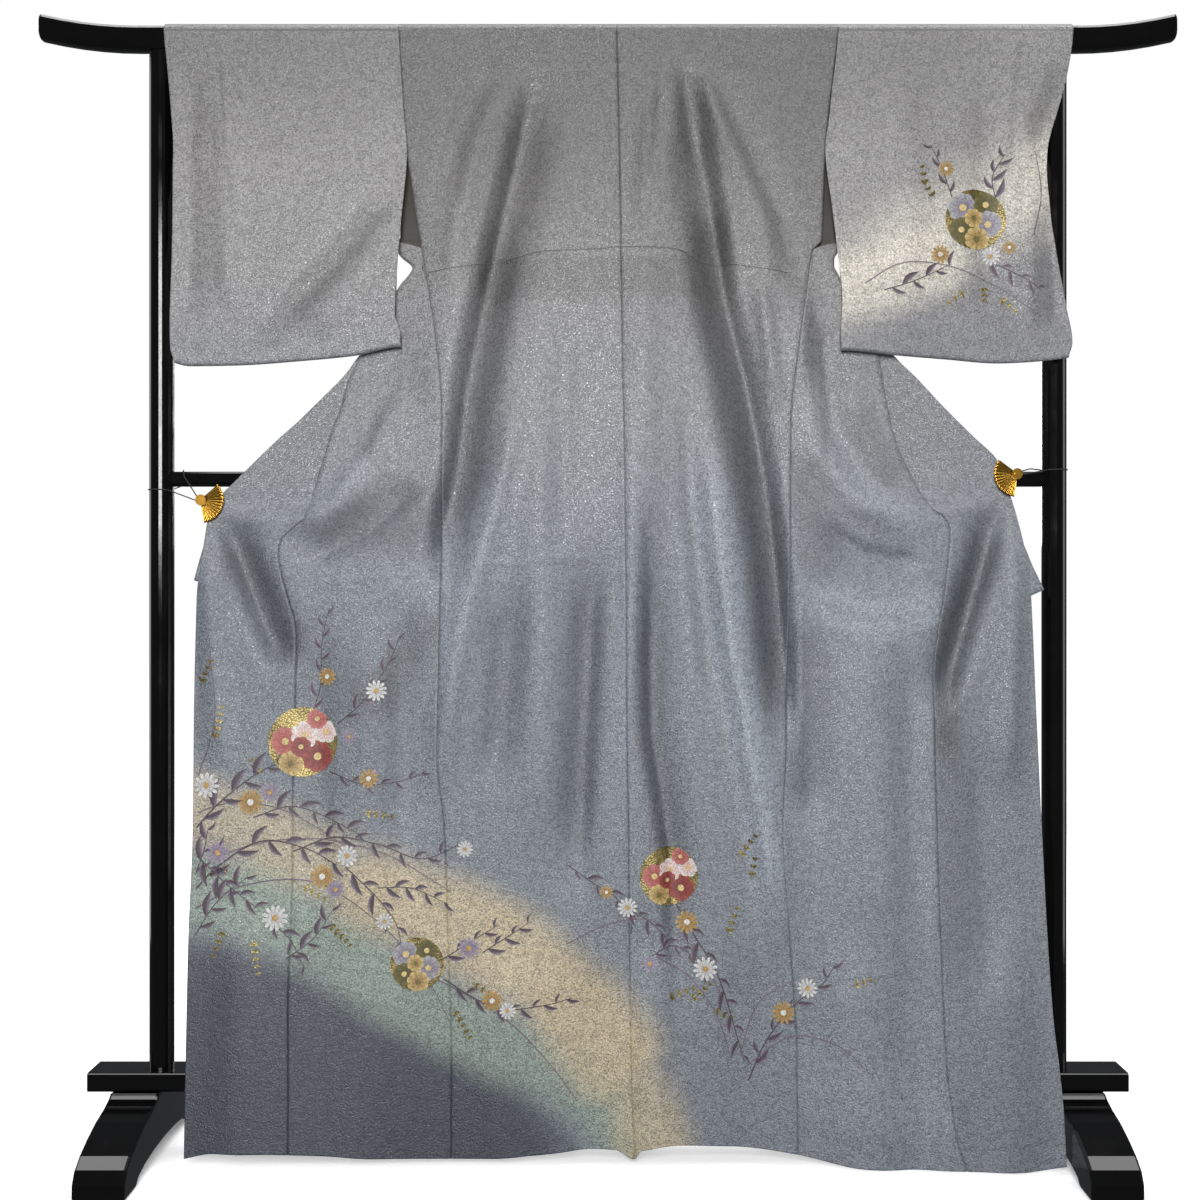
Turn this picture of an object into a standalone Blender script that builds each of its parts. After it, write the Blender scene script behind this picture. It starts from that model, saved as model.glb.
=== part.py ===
"""Kimono shown from the back on a lacquered kimono stand.

The back of the kimono lies over the top bar, the bar runs through both sleeves, and both fronts are
opened out to the sides and held to the posts by fan-shaped clips on thin cords.

Sizes here are millimetres and become metres when a mesh is made. +X is to the right for a viewer
who faces the back of the kimono, +Y is away from that viewer, +Z is up and the floor is z = 0.
"o" is the distance outwards from the middle plane x = 0: x is -o on the left and +o on the right.
Every cloth panel is a grid of points on its outer face: its rows run across the panel and follow
each other down it. The wall lies behind that face, on the lining side.
"""

import math

import bmesh
import bpy
import numpy as np
from mathutils import Vector

MM = 0.001
LEFT, RIGHT = -1, 1
SIDES = {"left": LEFT, "right": RIGHT}

# Clear space at a seam, and the walls
GAP = 0.4
CLOTH = 1.6
COLLAR_CLOTH = 2.5

# Stand
BAR_HALF_LENGTH = 836.0
BAR_HALF_DEPTH = 16.0
BAR_TOP = 1658.5
BAR_BOTTOM = 1620.0
BAR_CORNER = 12.0
BAR_STRAIGHT = 690.0
BAR_RISE = 17.5
BAR_END_ROUND = 4.0
POST_X = 658.0
POST_RADIUS = 18.0
RAIL_Z = 991.0
RAIL_HEIGHT = 22.0
RAIL_DEPTH = 18.0
PLANK_HALF_LENGTH = 758.0
PLANK_TOP = 124.0
PLANK_BOTTOM = 96.0
PLANK_DEPTH = 67.0
FOOT_X = 688.0
FOOT_WIDTH = 72.0
EDGE_ROUND = 4.0
SEAT_GAP = 0.3

# Upper half of a foot's outline, from its toe to the seat of the plank: distance from the post, height
FOOT_TOP = (
    (209.0, 4.0), (208.0, 23.0), (197.0, 40.0), (176.0, 52.0), (146.0, 64.0),
    (107.0, 76.0), (70.0, 83.0), (46.0, 90.0), (36.0, 95.7),
)
FOOT_PAD = 150.0
FOOT_PAD_END = 205.0
FOOT_ARCH = 22.0
FOOT_ARCH_STEPS = 8

# Cloth over the bar: the outer face is a rounded line round the bar
WRAP_CLEAR = 2.0
WRAP_Y = BAR_HALF_DEPTH + WRAP_CLEAR
WRAP_STEPS = 3
SHOULDER_Z = 1578.0
BODY_TOP_Z = 1646.5
ARMHOLE_Z = 1468.0
SIDE_SEAM_TOP = 1324.0
FREE_EDGE_Z = 1345.0
HEM_BLEND = 318.0
FAR_LOW_Z = 1615.0
SHOULDER_X = 200.0

# The near face goes over from the body's depth to the front's between these o
SPREAD_START = 225.0
SPREAD_END_LOW, SPREAD_END_HIGH = 420.0, 320.0
SPREAD_LOW_Z, SPREAD_HIGH_Z = 900.0, 1100.0

# Share of a fold's route over which it fades at each end, and heights over which folds set in
FOLD_FADE = 0.22
FOLDS_FROM_Z, FOLDS_FULL_Z = 1640.0, 1560.0

# Taut plane from the back of the neck to the clips, seen from above
NECK_X = 13.0
NECK_Y = 19.5
CLIP_Y = -34.0
CLIP_REACH = 600.0
TAUT_FROM_Z = 1595.0

COLLAR_WIDTH = 55.0
COLLAR_SECTIONS = 54
COLLAR_SMOOTH = 9
COLLAR_CLEAR = 16.0
COLLAR_SET_BACK = 2.0
OKUMI_ENDS_Z, BARE_EDGE_Z = 1330.0, 1410.0

# Fan clips: pivot x and z, first and last direction of the leaf in degrees from +X
FAN = {"left": (-591.0, 958.0, 41.0, -80.0), "right": (594.0, 996.0, 144.0, 261.0)}
FAN_FACE_Y = -38.6
FAN_RADIUS = 32.0
FAN_MIDDLE = 0.62 * FAN_RADIUS
FAN_INNER = 7.0
FAN_PLEATS = 9
FAN_PLEAT_DEPTH = 1.3
FAN_WALL = 0.9
FAN_ROOT_RADIUS = 8.2
FAN_ROOT_FRONT, FAN_ROOT_BACK = 1.0, 0.6
FAN_PIN_RADIUS = 3.6
FAN_PIN_FRONT = 1.6
ROD_SIDES = 14
JAW_LENGTH = 24.0
JAW_TAIL = 3.0
JAW_WIDTH = 9.0
JAW_WALL = 1.2
JAW_CLEAR = 2.0
CORD_RADIUS = 0.9
CORD_CLEAR = 0.4
CORD_TURN_STEPS = 16
CORD_END = (5.2, 3.0)


class Table:
    """Rows of numbers under named columns, read between its rows by the first column."""

    def __init__(self, columns, *rows):
        self.columns = columns.split()
        self.rows = np.array(sorted(rows), float)

    def at(self, column, key):
        index = self.columns.index(column)
        return np.interp(key, self.rows[:, 0], self.rows[:, index])


# Body seams, as x for each height
BODY = Table(
    "z centre side_left side_right",
    (1646, 13, -307, 338), (1468, 17, -294, 318), (1400, 18, -284, 315), (1340, 19, -274, 313),
    (1324, 19, -272, 300), (1259, 20, -261, 290), (1185, 21, -250, 278), (1072, 23, -241, 266),
    (813, 26, -243, 263), (592, 28, -247, 257), (481, 30, -236, 252), (318, 31, -230, 262),
    (154, 33, -225, 271), (10, 37, -225, 272),
)
FAR_EDGE = {LEFT: 303.5, RIGHT: 333.0}

# Edge where each front folds back under the arm and over its okumi seam, as o for each height
FOLD_EDGE = {
    LEFT: Table(
        "z o", (1345, 303), (1331, 302), (1323, 293), (1312, 287), (1300, 285.5), (1290, 291),
        (1275, 304), (1240, 325), (1200, 348), (1162, 367), (1130, 382), (1089, 393), (1063, 404),
        (1025, 414), (994, 424), (955, 434), (929, 443),
    ),
    RIGHT: Table(
        "z o", (1345, 330), (1332, 329), (1318, 322), (1308, 324), (1296, 334), (1240, 362),
        (1200, 382), (1165, 398), (1133, 403), (1074, 414), (1045, 421), (1002, 440), (957, 464),
        (946, 473), (938, 484),
    ),
}

# Seam between front and okumi, and above its top the neck edge of the front
OKUMI_SEAM = {
    LEFT: Table(
        "z o", (1578, 72), (1555, 74), (1530, 78), (1506, 88), (1448, 130), (1360, 200), (1335, 218),
        (1262, 262), (1190, 305), (1065, 365), (991, 405), (955, 425), (929, 443), (914, 461),
        (898, 476), (880, 479), (850, 474), (813, 464), (770, 453), (660, 452), (592, 454),
        (400, 453), (236, 456), (90, 454), (0, 453),
    ),
    RIGHT: Table(
        "z o", (1578, 98), (1555, 101), (1530, 106), (1506, 118), (1448, 174), (1360, 253),
        (1335, 272), (1262, 310), (1171, 370), (1100, 399), (1045, 415), (1002, 434), (957, 458),
        (946, 468), (938, 484), (914, 497), (880, 495), (850, 492), (813, 487), (770, 479),
        (720, 473), (660, 471), (481, 473), (318, 476), (154, 481), (40, 495), (0, 507),
    ),
}
OKUMI_TOP = 1322.0
OKUMI_MERGE = {LEFT: (958.0, 928.0), RIGHT: (972.0, 938.0)}

# Free edge of each front: the taut line from neck to clip, then down to the hem
FRONT_EDGE = {
    LEFT: Table(
        "z o", (1335, 222), (1262, 282), (1164, 370), (1149, 380), (1119, 407), (1088, 437),
        (1043, 486), (1000, 529), (968, 561), (954, 577), (923, 582), (871, 589), (813, 595),
        (647, 597), (482, 596), (318, 599), (0, 599),
    ),
    RIGHT: Table(
        "z o", (1335, 276), (1262, 340), (1171, 417), (1141, 448), (1095, 490), (1053, 531),
        (1015, 568), (990, 578), (963, 586), (907, 600), (850, 611), (813, 613), (647, 618),
        (482, 623), (318, 628), (214, 633), (144, 640), (81, 645), (0, 648),
    ),
}

# Hem height for each x
HEM = Table(
    "x z", (-600, 23), (-557, 31), (-455, 28), (-322, 17), (-225, 12), (-103, 17), (-11, 24),
    (10, 24), (37, 12), (49, 25), (98, 31), (208, 26), (274, 19), (344, 9), (412, 6), (502, 5.5),
    (584, 6), (650, 12),
)

# Collar's outer edge from its left end over the back of the neck to its right end, as x and z
COLLAR_EDGE = (
    (-600, 842), (-590, 880), (-580, 922), (-575, 953), (-559, 967), (-484, 1042), (-378, 1149),
    (-282, 1260), (-200, 1362), (-132, 1450), (-91, 1508), (-76, 1545), (-50, 1572), (-15, 1581),
    (13, 1582), (41, 1581), (76, 1572), (103, 1545), (120, 1508), (176, 1450), (255, 1362),
    (339, 1260), (446, 1141), (528, 1053), (565, 1014), (576, 989), (585, 960), (601, 900),
    (616, 862), (632, 828),
)

# Distance of the near faces in front of the middle plane: body, fronts
BASE = Table(
    "z body front",
    (1646, 18, 18), (1600, 19.5, 19.5), (1500, 25, 22), (1300, 33, 21), (1150, 38, 22),
    (1000, 42, 31), (950, 44, 36), (800, 47, 44), (500, 55, 62), (200, 63, 88), (0, 68, 103),
)

# Large folds of the near faces: height towards the viewer, half width, route as x and z
FOLDS = (
    # Back, left of the centre seam: long trough, the ridge beside it, and two soft waves
    (-19, 15, ((-92, 1603), (-121, 1484), (-153, 1344), (-176, 1220), (-200, 1103), (-217, 1001),
               (-233, 860), (-240, 760))),
    (12, 24, ((-70, 1588), (-102, 1425), (-135, 1264), (-157, 1103), (-176, 958), (-192, 784),
              (-203, 582), (-212, 330))),
    (-9, 22, ((-24, 740), (-37, 524), (-52, 381), (-64, 240))),
    (7, 26, ((-100, 1120), (-110, 871), (-115, 582), (-112, 200))),
    # Back, right of the centre seam
    (-24, 17, ((117, 1610), (133, 1465), (150, 1296), (166, 1161), (184, 1030), (206, 914),
               (223, 784), (238, 668), (246, 560))),
    (16, 26, ((128, 1260), (142, 1045), (165, 871), (194, 697), (219, 539), (241, 381),
              (254, 220))),
    (-11, 26, ((58, 760), (66, 600), (87, 438), (120, 290))),
    (6, 24, ((52, 1320), (54, 987), (52, 700))),
    # Left front: swag below the arm, hollow under it, and the trough that runs from the clip
    (10, 20, ((-290, 1130), (-345, 1020), (-400, 955), (-468, 902))),
    (-6, 22, ((-270, 985), (-345, 915), (-420, 878), (-462, 866))),
    (-15, 18, ((-566, 950), (-534, 871), (-501, 784), (-462, 700))),
    (7, 20, ((-585, 900), (-572, 760), (-560, 560))),
    (5, 34, ((-350, 800), (-345, 560), (-350, 300))),
    # Right front
    (12, 20, ((283, 1290), (283, 1161), (308, 1023), (366, 958), (437, 926), (488, 912))),
    (-8, 18, ((312, 1230), (330, 1060), (382, 990))),
    (-17, 20, ((572, 975), (547, 871), (512, 755), (478, 650))),
    (8, 22, ((592, 930), (588, 760), (575, 520))),
    (-6, 20, ((287, 830), (297, 640), (290, 438))),
    (6, 36, ((380, 800), (385, 560), (390, 300))),
    # Hem waves
    (8, 36, ((-150, 170), (-150, 10))),
    (-7, 30, ((-30, 190), (-25, 10))),
    (8, 30, ((60, 180), (66, 10))),
    (-7, 34, ((190, 200), (196, 10))),
    (-8, 38, ((-400, 260), (-395, 10))),
    (8, 36, ((-520, 300), (-530, 10))),
    (7, 36, ((350, 230), (356, 10))),
    (-9, 34, ((430, 240), (440, 10))),
    (9, 38, ((560, 260), (580, 10))),
)

# Waves of the sleeves, with the same columns
SLEEVE_FOLDS = (
    (-8, 22, ((-305, 1420), (-390, 1310), (-500, 1200))),
    (6, 26, ((-300, 1360), (-370, 1270), (-440, 1190))),
    (-6, 16, ((-606, 1600), (-612, 1480), (-606, 1330), (-612, 1200))),
    (6, 18, ((-560, 1560), (-556, 1400), (-548, 1220))),
    (9, 18, ((610, 1560), (606, 1450), (612, 1300), (618, 1180))),
    (-8, 16, ((640, 1400), (644, 1300), (652, 1190))),
    (-6, 22, ((560, 1590), (548, 1420), (552, 1220))),
    (5, 26, ((420, 1600), (440, 1420), (430, 1230))),
)

# Sleeve edges as o for each height: inner edge and outer edge of the near and far layers
SLEEVE = {
    LEFT: Table(
        "z near_inner far_inner near_outer far_outer",
        (1646, 307, 304, 650, 650), (1560, 301, 304, 641, 641), (1530, 299, 304, 638, 636),
        (1468, 294, 304, 633, 633), (1330, 303, 307, 632, 632), (1213, 309, 309, 635, 635),
        (1180, 301, 301, 634, 634), (1160, 301, 301, 626, 626),
    ),
    RIGHT: Table(
        "z near_inner far_inner near_outer far_outer",
        (1646, 338, 333.5, 681, 681), (1606, 334, 333.5, 676, 676), (1560, 328, 333.5, 666, 655),
        (1530, 325, 333.5, 657, 636), (1468, 318, 333.5, 640, 634), (1440, 320, 336, 638, 636),
        (1329, 332, 337, 650, 648), (1241, 340, 340, 664, 663), (1183, 338, 338, 673, 672),
        (1160, 338, 338, 666, 666),
    ),
}
# Distance of the sleeve layers from the middle plane, negative towards the viewer; the outer
# column holds near the cuff of the right sleeve, whose lower corner hangs in front of the post
SLEEVE_DEPTH = Table(
    "z near far far_outer",
    (1646, -18, 18, 18), (1625, -20.4, 18, 20.4), (1600, -20.4, 18, 20.4),
    (1560, -22.5, 17, 20.4), (1530, -24.5, 14, 17), (1500, -27, 8, 2), (1470, -30, 2, -14),
    (1448, -33, -2, -22.5), (1400, -36, -12, -24.5), (1340, -40, -20, -27),
    (1290, -42, -26, -29), (1230, -42, -28, -31), (1160, -42, -34, -36),
)
SLEEVE_BOTTOM = Table(
    "x z", (-640, 1158), (-607, 1150), (-540, 1151), (-440, 1158), (-370, 1165), (-301, 1178),
    (345, 1173), (417, 1166), (489, 1160), (567, 1154), (628, 1157), (680, 1164),
)
SLEEVE_LOW = 1160.0
SLEEVE_DROP_Z = 1340.0
SLEEVE_CALM_Z = 1230.0
SLEEVE_JOIN = 80.0
SLEEVE_FOLD_DROP = 5.0
CUFF_START, CUFF_FULL = 540.0, 620.0
FAR_WAVE_SHARE = 0.4
FAR_WAVE_FROM_Z, FAR_WAVE_FULL_Z = 1300.0, 1240.0
SLEEVE_LEVELS = (1646.5, 1625, 1580, 1530, 1500, 1468, 1440, 1400, 1350, 1290, 1230, 1190, 1167)
SLEEVE_COLUMNS = 9

BACK_COLUMNS = 13
BACK_LEVELS = (
    1646.5, 1600, 1555, 1510, 1468, 1430, 1400, 1340, 1324, 1290, 1259, 1222, 1185, 1130, 1072,
    1010, 945, 880, 813, 740, 665, 592, 535, 481, 400, 318, 236, 154, 75, 0,
)
FRONT_COLUMNS = 11
FAR_LEVELS = (1577.6, 1540, 1500, 1460, 1420, 1385, 1360, 1345)
TURN_LEVELS = (1340, 1335, 1330)
FRONT_LEVELS = (
    1324, 1312, 1300, 1288, 1275, 1259, 1235, 1210, 1185, 1162, 1130, 1100, 1072, 1045, 1010, 985,
    960, 946, 938, 929, 914, 898, 880, 850, 813, 770, 720, 660, 592, 535, 481, 400, 318, 236, 154,
    90, 40, 0,
)
OKUMI_COLUMNS = 6
# Turn of a front at its fold edge: its width, the largest share of the row, what is left where it
# closes, and the shortest way back behind the fold
FOLD_TURN = 8.0
TURN_SHARE = 0.4
CLOSED_TURN = 0.1
SHORTEST_RETURN = 0.5
FAR_EDGE_MOVES_Z = 1400.0
OKUMI_MARGIN = 20.0
OKUMI_STEP_CLEAR = 10.0
ROW_SAMPLES = 40
TURN_SAMPLES = 9


def ramp(start, end, value):
    """Smooth step from 0 at start to 1 at end."""
    t = np.clip((np.asarray(value, float) - start) / (end - start), 0.0, 1.0)
    return t * t * (3.0 - 2.0 * t)


def mix(a, b, weight):
    return a + (b - a) * weight


def fold_height(x, z, folds):
    """Sum of soft ridges: each is a bell across its route that fades out at both ends."""
    total = np.zeros(np.broadcast(x, z).shape)
    for height, half_width, route in folds:
        points = np.array(route, float)
        steps = np.diff(points, axis=0)
        lengths = np.hypot(steps[:, 0], steps[:, 1])
        starts = np.concatenate([[0.0], np.cumsum(lengths)])[:-1]
        best = np.full(total.shape, np.inf)
        place = np.zeros(total.shape)
        for start, step, length, before in zip(points[:-1], steps, lengths, starts):
            along = np.clip(((x - start[0]) * step[0] + (z - start[1]) * step[1]) / length**2, 0, 1)
            distance = np.hypot(x - start[0] - along * step[0], z - start[1] - along * step[1])
            nearer = distance < best
            best = np.where(nearer, distance, best)
            place = np.where(nearer, (before + along * length) / lengths.sum(), place)
        fade = ramp(0.0, FOLD_FADE, place) * ramp(1.0, 1.0 - FOLD_FADE, place)
        total = total + height * np.exp(-((best / half_width) ** 2)) * fade
    return total


def near_y(x, z):
    """Outer face of the panels towards the viewer."""
    z = np.asarray(z, float)
    end = mix(SPREAD_END_LOW, SPREAD_END_HIGH, ramp(SPREAD_LOW_Z, SPREAD_HIGH_Z, z))
    spread = ramp(0.0, 1.0, (np.abs(x) - SPREAD_START) / (end - SPREAD_START))
    base = mix(BASE.at("body", z), BASE.at("front", z), spread)
    return -base - fold_height(x, z, FOLDS) * ramp(FOLDS_FROM_Z, FOLDS_FULL_Z, z)


def taut_y(x):
    """Plane in which the collar and the okumi are drawn from the neck to the clips."""
    return mix(NECK_Y, CLIP_Y, np.abs(np.asarray(x, float) - NECK_X) / CLIP_REACH)


def far_y(x, z):
    """Outer face of the far layers: flat on the bar's far side, on the taut plane below it."""
    return mix(WRAP_Y, taut_y(x), ramp(TAUT_FROM_Z, FREE_EDGE_Z, z))


def okumi_y(side, x, z):
    """Face of the okumi: on the taut plane above the clip, one with the front below it."""
    high, low = OKUMI_MERGE[side]
    return mix(far_y(x, z), near_y(x, z), ramp(high, low, z))


def settle(x, level):
    """Height of a row: levels below HEM_BLEND are drawn down to the hem line."""
    lift = HEM.at("z", x) * (1.0 - np.minimum(level, HEM_BLEND) / HEM_BLEND)
    return level + lift


def outward(points, side, closed=False):
    """Unit normals of a grid whose columns run outwards and whose rows run down the near face."""
    if closed:
        down = np.roll(points, -1, axis=0) - np.roll(points, 1, axis=0)
    else:
        down = np.gradient(points, axis=0)
    normal = -side * np.cross(np.gradient(points, axis=1), down)
    return normal / np.linalg.norm(normal, axis=2, keepdims=True)


def level_columns(normal, columns, weight=1.0):
    """Take the sideways part out of the normals along a seam, so that its walls stay in line."""
    for column in columns:
        normal[:, column, 0] *= 1.0 - weight
    return normal / np.linalg.norm(normal, axis=2, keepdims=True)


def add_object(name, mesh, material, smooth_angle=None):
    item = bpy.data.objects.new(name, mesh)
    bpy.context.scene.collection.objects.link(item)
    mesh.materials.append(material)
    if smooth_angle is not None:
        mesh.shade_smooth()
        mesh.set_sharp_from_angle(angle=math.radians(smooth_angle))
    return item


def mesh_from(name, points, faces):
    """Closed mesh from points in millimetres, with its faces turned outwards."""
    mesh = bpy.data.meshes.new(name)
    mesh.from_pydata([tuple(float(v) * MM for v in point) for point in points], [], faces)
    work = bmesh.new()
    work.from_mesh(mesh)
    bmesh.ops.recalc_face_normals(work, faces=work.faces)
    work.to_mesh(mesh)
    work.free()
    return mesh


def wall(name, face, inward, material, closed=False):
    """Wall between a grid of points and the same grid moved inwards; closed joins its last row
    to its first."""
    rows, columns = face.shape[:2]
    points = np.concatenate([face.reshape(-1, 3), (face + inward).reshape(-1, 3)])
    back = rows * columns
    faces = []
    for row in range(rows if closed else rows - 1):
        below = (row + 1) % rows
        for column in range(columns - 1):
            a, b = row * columns + column, row * columns + column + 1
            c, d = below * columns + column + 1, below * columns + column
            faces += [(a, b, c), (a, c, d), (back + a, back + c, back + b), (back + a, back + d, back + c)]
        for column in (0, columns - 1):
            a, d = row * columns + column, below * columns + column
            faces += [(a, d, back + d), (a, back + d, back + a)]
    if not closed:
        for row in (0, rows - 1):
            for column in range(columns - 1):
                a, b = row * columns + column, row * columns + column + 1
                faces += [(a, b, back + b), (a, back + b, back + a)]
    return add_object(name, mesh_from(name, points, faces), material, 60)


def loft(name, sections, material, smooth_angle=40):
    """Closed body through rings of the same number of points, with flat ends."""
    count = len(sections[0])
    points = [point for section in sections for point in section]
    faces = []
    for ring in range(len(sections) - 1):
        for i in range(count):
            j = (i + 1) % count
            first, second = ring * count, (ring + 1) * count
            faces.append((first + i, first + j, second + j, second + i))
    faces.append(tuple(range(count)))
    faces.append(tuple((len(sections) - 1) * count + i for i in range(count)))
    return add_object(name, mesh_from(name, points, faces), material, smooth_angle)


def make_material(name, color, roughness, metallic=0.0):
    material = bpy.data.materials.new(name)
    material.use_nodes = True
    shader = material.node_tree.nodes["Principled BSDF"]
    shader.inputs["Base Color"].default_value = (*color, 1.0)
    shader.inputs["Roughness"].default_value = roughness
    shader.inputs["Metallic"].default_value = metallic
    material.diffuse_color = (*color, 1.0)
    return material


def rounded_section(half_depth, low, high, corner, steps=3):
    """Ring of y and z round a rectangle with rounded corners."""
    ring = []
    corners = ((1, high, 0), (-1, high, 90), (-1, low, 180), (1, low, 270))
    for side, edge, start in corners:
        centre_z = edge - corner if edge == high else edge + corner
        for step in range(steps + 1):
            angle = math.radians(start + 90.0 * step / steps)
            ring.append((
                side * (half_depth - corner) + corner * math.cos(angle),
                centre_z + corner * math.sin(angle),
            ))
    return ring


def bar_rise(x):
    """Lift of the bar's ends: none up to BAR_STRAIGHT, then growing with the square."""
    run = max(0.0, abs(x) - BAR_STRAIGHT) / (BAR_HALF_LENGTH - BAR_STRAIGHT)
    return BAR_RISE * run * run


def make_top_bar(material):
    curve = [mix(BAR_STRAIGHT, BAR_HALF_LENGTH - BAR_END_ROUND, step / 5) for step in range(6)]
    stations = [(x, 0.0) for x in curve]
    stations.append((BAR_HALF_LENGTH - 0.3 * BAR_END_ROUND, 0.3 * BAR_END_ROUND))
    stations.append((BAR_HALF_LENGTH, BAR_END_ROUND))
    sections = []
    for x, inset in [(-x, inset) for x, inset in reversed(stations)] + stations:
        ring = rounded_section(
            BAR_HALF_DEPTH - inset, BAR_BOTTOM + inset, BAR_TOP - inset, BAR_CORNER - inset)
        sections.append([(x, y, z + bar_rise(x)) for y, z in ring])
    return loft("top_bar", sections, material)


def make_post(name, side, material):
    ring = [(math.cos(math.tau * i / 24), math.sin(math.tau * i / 24)) for i in range(24)]
    sections = []
    for z in (PLANK_TOP + SEAT_GAP, BAR_BOTTOM - SEAT_GAP):
        sections.append([(side * POST_X + POST_RADIUS * c, POST_RADIUS * s, z) for c, s in ring])
    return loft(name, sections, material)


def make_beam(name, half_length, half_depth, low, high, corner, material):
    sections = []
    for x in (-half_length, half_length):
        ring = rounded_section(half_depth, low, high, corner)
        sections.append([(x, y, z) for y, z in ring])
    return loft(name, sections, material)


def make_rail(material):
    """Middle rail, its ends hollowed to the round of the posts."""
    rail = make_beam("middle_rail", POST_X, RAIL_DEPTH / 2, RAIL_Z - RAIL_HEIGHT / 2,
                     RAIL_Z + RAIL_HEIGHT / 2, 6.0, material)
    for name, side in SIDES.items():
        bpy.ops.mesh.primitive_cylinder_add(
            vertices=24, radius=(POST_RADIUS + SEAT_GAP) * MM, depth=4 * RAIL_HEIGHT * MM,
            location=(side * POST_X * MM, 0.0, RAIL_Z * MM))
        cutter = bpy.context.object
        cutter.name = "post_cut_" + name
        cutter.hide_render = True
        cutter.display_type = "WIRE"
        cut = rail.modifiers.new("seat_" + name, "BOOLEAN")
        cut.operation = "DIFFERENCE"
        cut.solver = "EXACT"
        cut.object = cutter
    return rail


def make_foot(name, side, material):
    top = [(-y, z) for y, z in FOOT_TOP] + [(y, z) for y, z in reversed(FOOT_TOP)]
    arch = []
    for step in range(FOOT_ARCH_STEPS + 1):
        angle = math.pi * step / FOOT_ARCH_STEPS
        arch.append((FOOT_PAD * math.cos(angle), FOOT_ARCH * math.sin(angle)))
    outline = top + [(FOOT_PAD_END, 0.0)] + arch + [(-FOOT_PAD_END, 0.0)]
    sections = []
    for x in (side * FOOT_X - FOOT_WIDTH / 2, side * FOOT_X + FOOT_WIDTH / 2):
        sections.append([(x, y, z) for y, z in outline])
    foot = loft(name, sections, material, 30)
    bevel = foot.modifiers.new("soft_edges", "BEVEL")
    bevel.width = EDGE_ROUND * MM
    bevel.segments = 2
    bevel.limit_method = "ANGLE"
    bevel.angle_limit = math.radians(60)
    return foot


def wrap_path():
    """Outer face over the bar as y and z, from its far side to its near side."""
    radius = BAR_CORNER + WRAP_CLEAR
    centre_y, centre_z = BAR_HALF_DEPTH - BAR_CORNER, BAR_TOP - BAR_CORNER
    path = []
    for side, start in ((1, 0.0), (-1, 90.0)):
        for step in range(WRAP_STEPS + 1):
            angle = math.radians(start + 90.0 * step / WRAP_STEPS)
            path.append((side * centre_y + radius * math.cos(angle), centre_z + radius * math.sin(angle)))
    return path


def body_edge(side, y, z):
    """o of the armhole seam and side seam; it moves to the far edge's place over the bar."""
    near = abs(BODY.at("side_left" if side == LEFT else "side_right", z))
    return mix(near, FAR_EDGE[side], ramp(-WRAP_Y, WRAP_Y, y)) if z > ARMHOLE_Z else near


def make_back(name, side, material):
    """Back panel: from the shoulder line on the bar's far side, over the bar, to the hem."""
    across = np.linspace(0.0, 1.0, BACK_COLUMNS)
    rows = []
    far = [(far_y(side * SHOULDER_X, SHOULDER_Z), SHOULDER_Z), (WRAP_Y, FAR_LOW_Z)]
    for y, z in far + wrap_path()[:-1]:
        inner = BODY.at("centre", z) + side * GAP / 2
        x = mix(inner, side * (body_edge(side, y, z) - GAP / 2), across)
        depth = far_y(x, z) if z < BODY_TOP_Z and y > 0 else np.full_like(x, y)
        rows.append(np.stack([x, depth, np.full_like(x, z)], axis=1))
    for level in BACK_LEVELS:
        inner = BODY.at("centre", level) + side * GAP / 2
        edge = body_edge(side, -WRAP_Y, level)
        x = mix(inner, side * (edge - GAP / 2), across)
        z = settle(x, level)
        rows.append(np.stack([x, near_y(x, z), z], axis=1))
    face = np.array(rows)
    normal = level_columns(outward(face, side), (0, BACK_COLUMNS - 1))
    return wall(name, face, -normal * CLOTH, material)


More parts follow.
